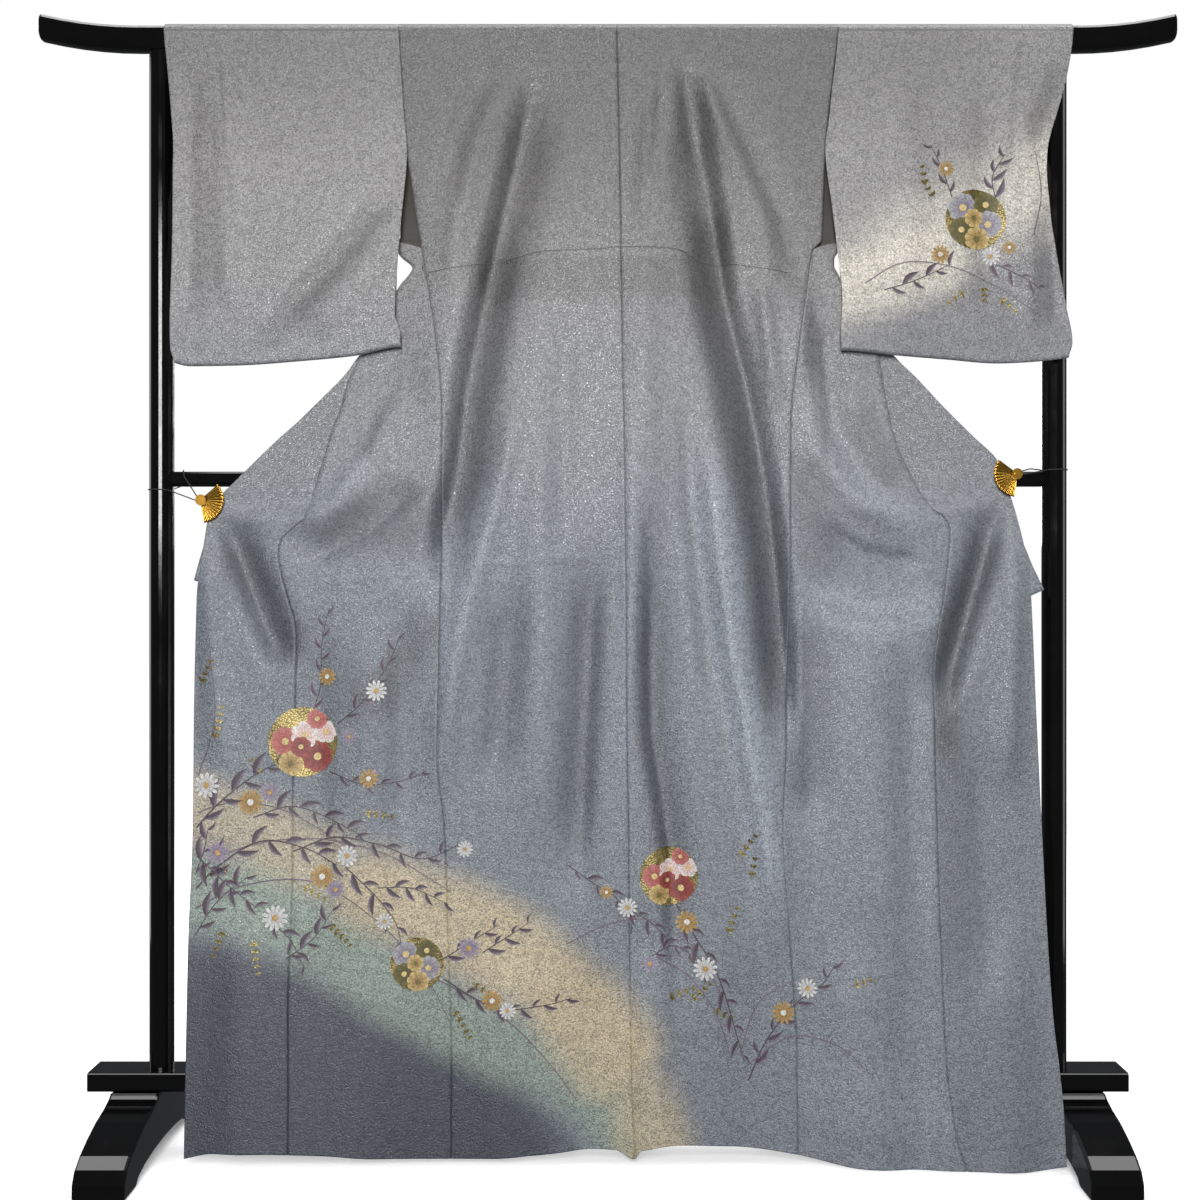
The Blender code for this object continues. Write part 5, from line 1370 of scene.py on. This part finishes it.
@dataclass
class Painting:
    """Painted and gilded shapes of one area, joined in one mesh that lies on the cloth's face."""

    name: str
    face: Callable[[Array, Array], Array]
    clear: float = 0.55
    thick: float = 0.25
    layer: float = 0.12
    reach: tuple[float, float] = (-593.0, 620.0)
    petal_points: int = 8
    eye_share: float = 0.24
    points: list[Array] = field(default_factory=list)
    tints: list[Array] = field(default_factory=list)
    faces: list[list[int]] = field(default_factory=list)
    slots: list[int] = field(default_factory=list)
    total: int = 0

    def slab(self, places: Array, tints: Array, level: int, closed: bool, gilt: bool = False) -> None:
        """Adds one shape as a thin closed slab.

        Args:
            places: Grid of x and z, rows by columns by 2; rings from the middle outwards if closed.
            tints: Colours that broadcast to rows by columns by 4.
            level: Layer above the cloth.
            closed: Whether the columns run round and the first ring is capped.
            gilt: Whether it is gold leaf and not paint.
        """
        rows, columns = places.shape[:2]
        places = np.stack([np.clip(places[..., 0], *self.reach), places[..., 1]], axis=-1)
        flat = places.reshape(-1, 2)
        y = self.face(flat[:, 0], flat[:, 1]) - self.clear - level * self.layer
        front = np.stack([flat[:, 0], y, flat[:, 1]], axis=1)
        back = front + np.array([0.0, self.thick, 0.0])
        index = self.total + np.arange(rows * columns).reshape(rows, columns)
        over = np.roll(index, -1, 1) if closed else index[:, 1:]
        under = index if closed else index[:, :-1]
        quads = np.stack([under[:-1], over[:-1], over[1:], under[1:]], axis=-1).reshape(-1, 4)
        ring = index[-1] if closed else np.concatenate([index[0], index[1:, -1], index[-1, -2::-1],
                                                        index[-2:0:-1, 0]])
        count = len(flat)
        rim = np.stack([ring, np.roll(ring, -1), np.roll(ring, -1) + count, ring + count], axis=-1)
        made = quads.tolist() + (quads[:, ::-1] + count).tolist() + rim.tolist()
        if closed:
            made += [index[0].tolist(), (index[0][::-1] + count).tolist()]
        self.points += [front, back]
        color = np.broadcast_to(tints, (rows, columns, 4)).reshape(-1, 4)
        self.tints += [color, color]
        self.faces += made
        self.slots += [int(gilt)] * len(made)
        self.total += 2 * count

    def line(self, route: Route, start: float, end: float, ink: Pigment, level: int = 0) -> Array:
        """Brushed line along a smooth route, its width running from start to end; returns its places."""
        middle = smooth_route(route)
        middle = middle[(middle[:, 0] > self.reach[0] + 1.0) & (middle[:, 0] < self.reach[1] - 1.0)]
        along = np.gradient(middle, axis=0)
        across = np.stack([-along[:, 1], along[:, 0]], axis=1)
        across /= np.linalg.norm(across, axis=1, keepdims=True)
        half = np.linspace(start, end, len(middle))[:, None] / 2
        grid = np.stack([middle - across * half, middle + across * half])
        self.slab(grid, ink.tint, level, False)
        return middle

    def leaf(self, foot: tuple[float, float], angle: float, length: float, width: float,
             inks: tuple[Pigment, Pigment], bend: float = 0.12, level: int = 1, gilt: bool = False) -> None:
        """Slim leaf in two tones: half width is width/2 times sin(pi s^0.8) along a bent midrib."""
        s = np.linspace(0.0, 1.0, 8)
        half = width / 2 * np.sin(np.pi * s**0.8) + 0.12
        rise = bend * length * np.sin(np.pi * s)
        rows = [np.stack([s * length, rise + side * half], axis=1) for side in (-1, 0, 1)]
        grid = turned(np.stack(rows), foot, angle)
        light, dark = inks[0].tint, inks[1].tint
        tints = np.stack([light, dark, dark])[:, None] * (0.8 + 0.5 * s)[None, :, None]
        self.slab(grid, np.clip(tints, 0, 1), level, False, gilt)

    def bloom(self, centre: tuple[float, float], radius: float, petals: int, inks: tuple[Pigment, ...],
              notch: float = 0.6, turn: float = 0.0, level: int = 2, clip: tuple | None = None) -> None:
        """Flower seen from the front: radius times 1 - notch (1 - |sin(n a/2)|^0.7) round the middle.

        Args:
            centre: Middle of the flower.
            radius: Reach of its petals.
            petals: Number of petals, n.
            inks: Colour of the petals' tips, their feet and the eye.
            notch: Depth of the gaps between petals as a share of the radius.
            turn: Degrees that the flower is turned by.
            level: Layer above the cloth.
            clip: Middle and radius of a roundel that cuts the flower off.
        """
        a = np.linspace(0.0, 2 * np.pi, petals * self.petal_points, endpoint=False)
        circle = np.stack([np.cos(a), np.sin(a)], 1)
        wave = np.abs(np.sin(petals * a / 2)) ** 0.7
        reach = radius * (1.0 - notch * (1.0 - wave))
        shares = np.array([0.2, 0.45, 0.75, 1.0])
        grid = shares[:, None, None] * (reach[:, None] * circle)[None]
        grid = self.clipped(turned(grid, centre, turn), clip)
        tip, foot = inks[0].tint, inks[1].tint
        weight = (shares**1.4)[:, None, None] * (0.35 + 0.65 * wave)[None, :, None]
        self.slab(grid, foot + (tip - foot) * weight, level, True)
        eye = shares[1:, None, None] * radius * self.eye_share * circle[None]
        self.slab(self.clipped(turned(eye, centre, 0.0), clip), inks[2].tint, level + 2, True)

    @staticmethod
    def clipped(grid: Array, clip: tuple | None) -> Array:
        """Places drawn in to a circle where they pass it."""
        if clip is None:
            return grid
        middle, radius = np.array(clip[0]), clip[1]
        away = grid - middle
        far = np.linalg.norm(away, axis=-1, keepdims=True)
        return middle + away * np.minimum(1.0, radius / np.maximum(far, 1e-6))

    def disc(self, centre: tuple[float, float], radius: float, rings: int = 10, level: int = 1,
             inks: tuple[Pigment, Pigment] = (Pigment.GOLD, Pigment.OLD_GOLD)) -> None:
        """Gilded ground of a roundel."""
        a = np.linspace(0.0, 2 * np.pi, 72, endpoint=False)
        shares = np.linspace(0.06, 1.0, rings)[:, None, None]
        grid = np.array(centre) + radius * shares * np.stack([np.cos(a), np.sin(a)], 1)[None]
        weight = (0.5 + 0.5 * np.sin(5 * a))[None, :, None] * shares
        self.slab(grid, inks[0].tint + (inks[1].tint - inks[0].tint) * weight, level, True, True)

    def branch(self, route: Route, width: float, leaves: int, length: float, first: float = 0.12,
               inks: tuple[Pigment, Pigment] = (Pigment.DUSK, Pigment.PLUM)) -> None:
        """Branch with leaves that stand out by turns to either side, shorter towards its tip."""
        middle = self.line(route, width, 0.5 * width, Pigment.PLUM)
        for i, share in enumerate(np.linspace(first, 0.97, leaves)):
            at = int(share * (len(middle) - 1))
            step = middle[min(at + 1, len(middle) - 1)] - middle[max(at - 1, 0)]
            heading = math.degrees(math.atan2(step[1], step[0]))
            side = 1 if i % 2 else -1
            lean = (34 + 16 * math.sin(2.4 * i + len(route))) * side
            size = length * (1.2 - 0.4 * share) * (1 + 0.22 * math.sin(3.1 * i + route[0][0]))
            self.leaf(tuple(middle[at]), heading + lean, size, 0.27 * size, inks, 0.1 * side)

    def sprig(self, foot: tuple[float, float], angle: float, length: float) -> None:
        """Little gilded sprig: a thread of a stem with pairs of round leaflets."""
        pairs = max(int(length / 9), 3)
        turn = math.radians(angle)
        end = (foot[0] + length * math.cos(turn), foot[1] + length * math.sin(turn))
        self.line((foot, end), 0.9, 0.5, Pigment.OLD_GOLD)
        for i in range(pairs):
            share = (i + 0.6) / pairs
            at = (mix(foot[0], end[0], share), mix(foot[1], end[1], share))
            for side in (-1, 1):
                size = 7.6 * (1.1 - 0.45 * share)
                self.leaf(at, angle + side * (52 - 8 * share), size, 0.62 * size,
                          (Pigment.GOLD, Pigment.OLD_GOLD), 0.0, 1, True)

    def roundel(self, centre: tuple[float, float], radius: float, warm: bool) -> None:
        """Roundel of flowers on gold: crimson and white ones, or olive and lilac fans of petals."""
        clip = (centre, radius)
        self.disc(centre, radius)
        x, z = centre
        red = (Pigment.RED, Pigment.WINE, Pigment.STRAW)
        rose = (Pigment.ROSE, Pigment.RED, Pigment.STRAW)
        white = (Pigment.WHITE, Pigment.BLUSH, Pigment.STRAW)
        gold = (Pigment.STRAW, Pigment.AMBER, Pigment.OLIVE)
        lilac = (Pigment.PEARL, Pigment.MAUVE, Pigment.STRAW)
        olive = (Pigment.OLIVE, Pigment.MOSS, Pigment.STRAW)
        plan = (
            ((0.42, -0.42), 0.46, 9, red, 0.12), ((-0.5, 0.02), 0.42, 8, rose, 0.12),
            ((0.05, 0.2), 0.4, 7, white, 0.16), ((-0.34, -0.62), 0.36, 10, gold, 0.12),
            ((0.66, 0.3), 0.34, 6, white, 0.16), ((-0.05, -0.14), 0.3, 8, red, 0.12),
            ((0.4, 0.66), 0.3, 8, rose, 0.14),
        ) if warm else (
            ((-0.42, 0.38), 0.5, 9, lilac, 0.1), ((0.36, 0.5), 0.42, 8, olive, 0.12),
            ((0.42, -0.16), 0.46, 10, lilac, 0.1), ((-0.48, -0.36), 0.42, 8, olive, 0.12),
            ((0.04, -0.66), 0.42, 9, gold, 0.12), ((-0.06, 0.04), 0.32, 8, gold, 0.12),
        )
        for i, ((dx, dz), share, petals, inks, notch) in enumerate(plan):
            self.bloom((x + dx * radius, z + dz * radius), share * radius, petals, inks, notch,
                       37.0 * i, 2 + i, clip)

    def build(self, materials: list[bpy.types.Material], slot: Slot) -> bpy.types.Object:
        """Joins all shapes in one piece."""
        mesh = bpy.data.meshes.new(self.name)
        mesh.from_pydata((np.concatenate(self.points) * MM).tolist(), [], self.faces)
        mesh.polygons.foreach_set("material_index", np.array(self.slots, np.int32))
        layer = mesh.attributes.new("tint", "FLOAT_COLOR", "POINT")
        layer.data.foreach_set("color", np.concatenate(self.tints).ravel())
        work = bmesh.new()
        work.from_mesh(mesh)
        bmesh.ops.recalc_face_normals(work, faces=work.faces)
        work.to_mesh(mesh)
        work.free()
        piece = finished(self.name, mesh, materials, 40.0)
        ride_as(piece, slot)
        return piece


DAISY = (Pigment.WHITE, Pigment.PEARL, Pigment.OCHRE)
AMBER_DAISY = (Pigment.OCHRE, Pigment.AMBER, Pigment.WHITE)
LILAC_DAISY = (Pigment.LILAC, Pigment.MAUVE, Pigment.OCHRE)


@dataclass
class SkirtPattern:
    """Autumn flowers round the lower left and along the hem, as on a visiting kimono."""

    grasses: tuple[Route, ...] = (
        ((-617, 404), (-540, 452), (-440, 470), (-330, 452), (-225, 392)),
        ((-612, 360), (-520, 404), (-420, 408), (-330, 352), (-262, 272), (-222, 196)),
        ((-604, 500), (-548, 520), (-470, 512), (-380, 462)),
        ((-250, 270), (-150, 214), (-88, 152), (-46, 96)),
        ((-60, 318), (0, 346), (60, 352), (112, 318), (160, 250), (190, 160)),
        ((70, 300), (120, 268), (158, 212), (178, 150)),
        ((196, 140), (262, 186), (330, 176), (372, 140)),
        ((-590, 560), (-566, 640), (-574, 740)),
        ((60, 452), (66, 500), (80, 560)),
        ((190, 158), (216, 232), (268, 268)),
    )
    branches: tuple[tuple[Route, float, int, float], ...] = (
        (((-604, 470), (-560, 520), (-500, 566), (-452, 584)), 2.4, 9, 34.0),
        (((-430, 640), (-416, 690), (-414, 750), (-404, 800)), 1.7, 9, 20.0),
        (((-390, 634), (-352, 668), (-318, 720), (-300, 764)), 1.7, 9, 20.0),
        (((-402, 566), (-352, 548), (-296, 552), (-262, 566)), 1.6, 7, 18.0),
        (((-606, 380), (-560, 430), (-500, 466), (-440, 458), (-388, 432)), 2.6, 9, 32.0),
        (((-452, 452), (-392, 472), (-330, 462), (-268, 440), (-210, 462)), 2.0, 11, 24.0),
        (((-376, 430), (-336, 392), (-306, 352), (-296, 318)), 1.8, 7, 26.0),
        (((-486, 352), (-456, 330), (-432, 286)), 1.6, 5, 22.0),
        (((-238, 296), (-196, 322), (-160, 344)), 1.6, 6, 20.0),
        (((-236, 268), (-190, 240), (-146, 226), (-92, 230), (-52, 240)), 2.0, 11, 21.0),
        (((-58, 430), (-20, 404), (12, 384), (36, 340)), 1.7, 7, 19.0),
        (((96, 378), (124, 330), (160, 268), (196, 150)), 2.4, 12, 26.0),
        (((60, 300), (96, 314), (136, 290)), 1.5, 6, 18.0),
        (((202, 122), (228, 180), (268, 232), (306, 262), (326, 292)), 2.0, 11, 22.0),
        (((-592, 418), (-580, 452), (-574, 486)), 1.8, 5, 26.0),
        (((-590, 446), (-544, 404), (-502, 372)), 1.8, 8, 28.0),
        (((-592, 330), (-560, 380), (-516, 416)), 1.6, 7, 28.0),
        (((-510, 500), (-456, 516), (-404, 500), (-352, 474)), 1.6, 9, 26.0),
        (((-330, 400), (-282, 398), (-232, 376)), 1.5, 7, 22.0),
        (((-180, 306), (-142, 330), (-112, 350)), 1.5, 6, 20.0),
        (((-460, 300), (-420, 330), (-392, 372)), 1.5, 7, 24.0),
        (((20, 372), (60, 350), (92, 318)), 1.4, 6, 20.0),
    )
    daisies: tuple[tuple[tuple[float, float], float, tuple[Pigment, ...]], ...] = (
        ((-334, 682), 14.0, DAISY), ((-578, 546), 17.0, DAISY), ((-514, 522), 17.0, AMBER_DAISY),
        ((-486, 536), 13.0, LILAC_DAISY), ((-560, 450), 15.0, LILAC_DAISY),
        ((-410, 416), 16.0, AMBER_DAISY), ((-390, 398), 12.0, LILAC_DAISY),
        ((-374, 446), 14.0, DAISY), ((-476, 358), 17.0, DAISY),
        ((-206, 454), 11.0, DAISY), ((-166, 238), 14.0, AMBER_DAISY), ((-144, 224), 11.0, DAISY),
        ((-200, 312), 15.0, LILAC_DAISY), ((28, 370), 13.0, DAISY), ((60, 290), 11.0, LILAC_DAISY),
        ((114, 348), 15.0, AMBER_DAISY), ((140, 282), 16.0, DAISY), ((252, 220), 15.0, AMBER_DAISY),
        ((286, 256), 13.0, DAISY), ((-406, 702), 12.0, AMBER_DAISY), ((-344, 556), 13.0, AMBER_DAISY),
        ((-320, 352), 11.0, DAISY), ((-2, 392), 9.0, AMBER_DAISY), ((-372, 616), 10.0, LILAC_DAISY),
    )
    sprigs: tuple[tuple[tuple[float, float], float, float], ...] = (
        ((-566, 610), 78.0, 52.0), ((-588, 690), 66.0, 40.0), ((-500, 560), 120.0, 28.0),
        ((-540, 430), 200.0, 34.0), ((-440, 404), 330.0, 42.0), ((-400, 350), 315.0, 46.0),
        ((-548, 344), 250.0, 44.0), ((-506, 330), 280.0, 52.0), ((-352, 508), 350.0, 44.0),
        ((-222, 226), 300.0, 50.0), ((-196, 262), 330.0, 30.0), ((84, 240), 20.0, 44.0),
        ((118, 236), 40.0, 40.0), ((172, 330), 70.0, 44.0), ((188, 440), 55.0, 44.0),
        ((206, 410), 80.0, 34.0), ((150, 226), 330.0, 34.0), ((348, 262), 20.0, 30.0),
    )
    # Route of the painted shadow line along the edge of the tuck
    tuck: Route = ((-262, 1290), (-189, 1302), (-138, 1313), (-94, 1321), (-16, 1324), (19, 1327),
                   (101, 1324), (134, 1308), (183, 1302), (262, 1290))
    roundels: tuple[tuple[tuple[float, float], float, bool], ...] = (
        ((-440, 608), 50.0, True), ((-274, 290), 38.0, False), ((88, 414), 42.0, True),
    )

    def build(self, finishes: Finishes) -> None:
        """Paints the skirt, from the grasses behind to the flowers in front."""
        work = Painting("painted_skirt_pattern", DRAPE.near_y)
        for route in self.grasses:
            work.line(route, 2.0, 1.0, Pigment.GRASS)
        for foot, angle, length in self.sprigs:
            work.sprig(foot, angle, length)
        for route, width, leaves, length in self.branches:
            work.branch(route, width, leaves, length)
        for centre, radius, warm in self.roundels:
            work.roundel(centre, radius, warm)
        for i, (centre, radius, inks) in enumerate(self.daisies):
            work.bloom(centre, 1.1 * radius, 12, inks, 0.55, 11.0 * i, 3)
        # Painted shadow: a dark line along the edge of the tuck
        work.line(self.tuck, 1.1, 1.1, Pigment.SEAM)
        work.build([finishes.paint, finishes.leaf], Slot.SILK)


@dataclass
class SleevePattern:
    """The same flowers on the right sleeve, round one roundel."""

    grasses: tuple[Route, ...] = (
        ((372, 1272), (424, 1300), (490, 1298), (560, 1270), (622, 1226)),
        ((616, 1340), (629, 1400), (622, 1462)),
    )
    branches: tuple[tuple[Route, float, int, float], ...] = (
        (((400, 1262), (446, 1276), (498, 1300)), 1.8, 6, 24.0),
        (((566, 1390), (560, 1428), (578, 1462)), 1.8, 6, 24.0),
        (((500, 1398), (486, 1440), (470, 1476)), 1.5, 6, 18.0),
        (((548, 1308), (590, 1286), (626, 1262)), 1.6, 6, 20.0),
    )
    sprigs: tuple[tuple[tuple[float, float], float, float], ...] = (
        ((462, 1412), 100.0, 34.0), ((476, 1396), 125.0, 30.0), ((520, 1262), 215.0, 34.0),
        ((566, 1252), 320.0, 34.0), ((546, 1270), 270.0, 24.0),
    )
    daisies: tuple[tuple[tuple[float, float], float, tuple[Pigment, ...]], ...] = (
        ((482, 1314), 14.0, AMBER_DAISY), ((556, 1312), 14.0, DAISY),
        ((582, 1324), 10.0, AMBER_DAISY), ((492, 1440), 12.0, AMBER_DAISY),
    )
    roundel: tuple[tuple[float, float], float, bool] = ((534, 1366), 44.0, False)

    def build(self, finishes: Finishes) -> None:
        """Paints the sleeve's near layer."""
        sleeve = Sleeve(Side.RIGHT)
        work = Painting("painted_sleeve_pattern", sleeve.near_face, reach=(345.0, 634.0))
        for route in self.grasses:
            work.line(route, 1.8, 0.9, Pigment.GRASS)
        for route, width, leaves, length in self.branches:
            work.branch(route, width, leaves, length)
        for foot, angle, length in self.sprigs:
            work.sprig(foot, angle, length)
        work.roundel(*self.roundel)
        for centre, radius, inks in self.daisies:
            work.bloom(centre, radius, 12, inks, 0.55, centre[0], 3)
        work.build([finishes.paint, finishes.leaf], Slot.SILK)


@dataclass
class Stand:
    """The stand's own solids, which keep their shape and get their lacquer."""

    nodes: tuple[str, ...] = ("top_bar", "post_left", "post_right", "middle_rail", "plank",
                              "foot_left", "foot_right")

    def dress(self, finishes: Finishes) -> None:
        """Puts the lacquer on each solid."""
        for name in self.nodes:
            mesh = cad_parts[name].data
            mesh.materials.clear()
            mesh.materials.append(finishes.lacquer)
            LOG.info("%s dressed", name)


@dataclass
class Clips:
    """Fan clips and their cords; a finely pleated leaf lies on the face of each plain clip."""

    # Pivot's x and z, then the angles of the leaf's two straight edges
    pivots = {Side.LEFT: (-591.0, 958.0, 41.0, -80.0), Side.RIGHT: (594.0, 996.0, 144.0, 261.0)}
    face_y: float = -41.4
    inner: float = 8.0
    outer: float = 33.4
    pleats: int = 13
    pleat_depth: float = 1.7
    scallop_rise: float = 0.8
    thickness: float = 0.5

    def leaf(self, side: Side, finishes: Finishes) -> None:
        """Pleated leaf: y rises by the pleat depth as a sharp wave of the angle, fuller outwards."""
        x, z, first, last = self.pivots[side]
        turn = np.linspace(0.0, 1.0, self.pleats * 6 + 1)[None]
        reach = np.linspace(0.0, 1.0, 9)[:, None]
        angle = np.radians(first + (last - first) * turn)
        ridge = np.abs(2.0 * ((turn * self.pleats) % 1.0) - 1.0)
        scallop = self.scallop_rise * ridge * reach
        radius = mix(self.inner, self.outer, reach) + scallop
        rise = self.pleat_depth * ridge * (0.25 + 0.75 * reach)
        grid = np.stack([x + radius * np.cos(angle), self.face_y - rise,
                         z + radius * np.sin(angle)], axis=2)
        inward = np.zeros_like(grid)
        inward[:, :, 1] = self.thickness
        piece = Cloth("fan_leaf_" + side.word, grid, inward).build([finishes.gilt] * 3, dye=False)
        ride_as(piece, Slot.GILT)

    def dress(self, finishes: Finishes) -> None:
        """Puts gilt on the clips and cord on the ties, and adds the leaves."""
        for side in Side:
            self.leaf(side, finishes)
        for side in Side:
            for name, material in (("fan_clip_", finishes.gilt), ("tie_", finishes.cord)):
                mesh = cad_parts[name + side.word].data
                mesh.materials.clear()
                mesh.materials.append(material)


@dataclass
class Studio:
    """Floor, lights and camera."""

    lens: float = 48.8
    place: tuple[float, float, float] = (0.0, -2.4, 0.807)
    shift_x: float = -0.0066
    shift_y: float = 0.0033
    room_glow: float = 0.12
    ceiling_light: float = 2.9
    floor_glow: float = 0.2
    floor_size: float = 30.0
    floor_gap: float = 0.0005

    def camera(self) -> None:
        """Camera straight in front of the dress at half its height, level."""
        data = bpy.data.cameras.new("camera")
        data.lens = self.lens
        data.sensor_width = 36.0
        data.shift_x, data.shift_y = self.shift_x, self.shift_y
        data.clip_start, data.clip_end = 0.05, 60.0
        item = bpy.data.objects.new("camera", data)
        item.rotation_mode = "XYZ"
        item.rotation_euler = (math.radians(90.0), 0.0, 0.0)
        item.location = self.place
        bpy.context.scene.collection.objects.link(item)
        bpy.context.scene.camera = item

    def floor(self) -> None:
        """Pale plain floor, which throws no light back so that the folds keep their shade."""
        bpy.ops.mesh.primitive_plane_add(size=self.floor_size, location=(0.0, 0.0, -self.floor_gap))
        item = bpy.context.object
        item.name = "floor"
        made = Finish("pale_floor")
        made.set(Base_Color=linear("F4F4F5"), Roughness=0.9, Emission_Color=linear("FFFFFF"),
                 Emission_Strength=self.floor_glow)
        item.data.materials.append(made.material)
        item.visible_diffuse = False
        item.visible_glossy = False

    def lamp(self, name: str, place: tuple[float, float, float], aim: tuple[float, float, float],
             size: tuple[float, float], power: float) -> None:
        """Soft box that looks at a point.

        Args:
            name: Name of the light.
            place: Its middle, metres.
            aim: Point that it faces.
            size: Width and height.
            power: Watts.
        """
        data = bpy.data.lights.new(name, "AREA")
        data.shape = "RECTANGLE"
        data.size, data.size_y = size
        data.energy = power
        item = bpy.data.objects.new(name, data)
        item.location = place
        item.rotation_euler = (Vector(aim) - Vector(place)).to_track_quat("-Z", "Y").to_euler()
        item.visible_camera = False
        bpy.context.scene.collection.objects.link(item)

    def lights(self) -> None:
        """Soft boxes close to the camera, behind and at both sides, and light from the ceiling."""
        self.lamp("key", (-0.2, -3.4, 1.55), (0.0, 0.0, 0.95), (1.0, 1.1), 112.0)
        self.lamp("far_side", (0.3, 3.2, 1.6), (0.0, 0.0, 0.95), (1.6, 1.2), 70.0)
        self.lamp("side_left", (-2.9, 1.1, 1.1), (-0.6, 0.0, 1.0), (0.9, 2.6), 12.0)
        self.lamp("side_right", (3.0, -0.3, 1.1), (0.6, 0.0, 1.0), (0.9, 2.6), 16.0)
        ceiling = bpy.data.lights.new("ceiling", "SUN")
        ceiling.energy = self.ceiling_light
        ceiling.angle = math.radians(50.0)
        item = bpy.data.objects.new("ceiling", ceiling)
        item.location = (0.0, 0.0, 4.0)
        bpy.context.scene.collection.objects.link(item)

    def room(self) -> None:
        """Room that is white to look at but gives only a little light of its own."""
        world = bpy.data.worlds.new("room")
        world.use_nodes = True
        tree = world.node_tree
        glow = tree.nodes["Background"]
        glow.inputs["Color"].default_value = linear("E6EAF0")
        glow.inputs["Strength"].default_value = self.room_glow
        wall = tree.nodes.new("ShaderNodeBackground")
        wall.inputs["Color"].default_value = linear("FFFFFF")
        seen = tree.nodes.new("ShaderNodeLightPath")
        either = tree.nodes.new("ShaderNodeMixShader")
        tree.links.new(seen.outputs["Is Camera Ray"], either.inputs[0])
        tree.links.new(glow.outputs[0], either.inputs[1])
        tree.links.new(wall.outputs[0], either.inputs[2])
        tree.links.new(either.outputs[0], tree.nodes["World Output"].inputs[0])
        bpy.context.scene.world = world
        bpy.context.scene.view_settings.view_transform = "Standard"

    def build(self) -> None:
        """Sets up the whole studio."""
        self.camera()
        self.floor()
        self.lights()
        self.room()


def main() -> None:
    """Builds every piece in order."""
    logging.basicConfig(level=logging.INFO, format="%(name)s %(message)s")
    Studio().build()
    finishes = Finishes()
    Stand().dress(finishes)
    Clips().dress(finishes)
    for side in Side:
        BackPanel(side).build(finishes)
        FrontPanel(side).build(finishes)
        OkumiPanel(side).build(finishes)
        Sleeve(side).build(finishes)
    Collar().build(finishes)
    SkirtPattern().build(finishes)
    SleevePattern().build(finishes)


if __name__ == "__main__":
    main()
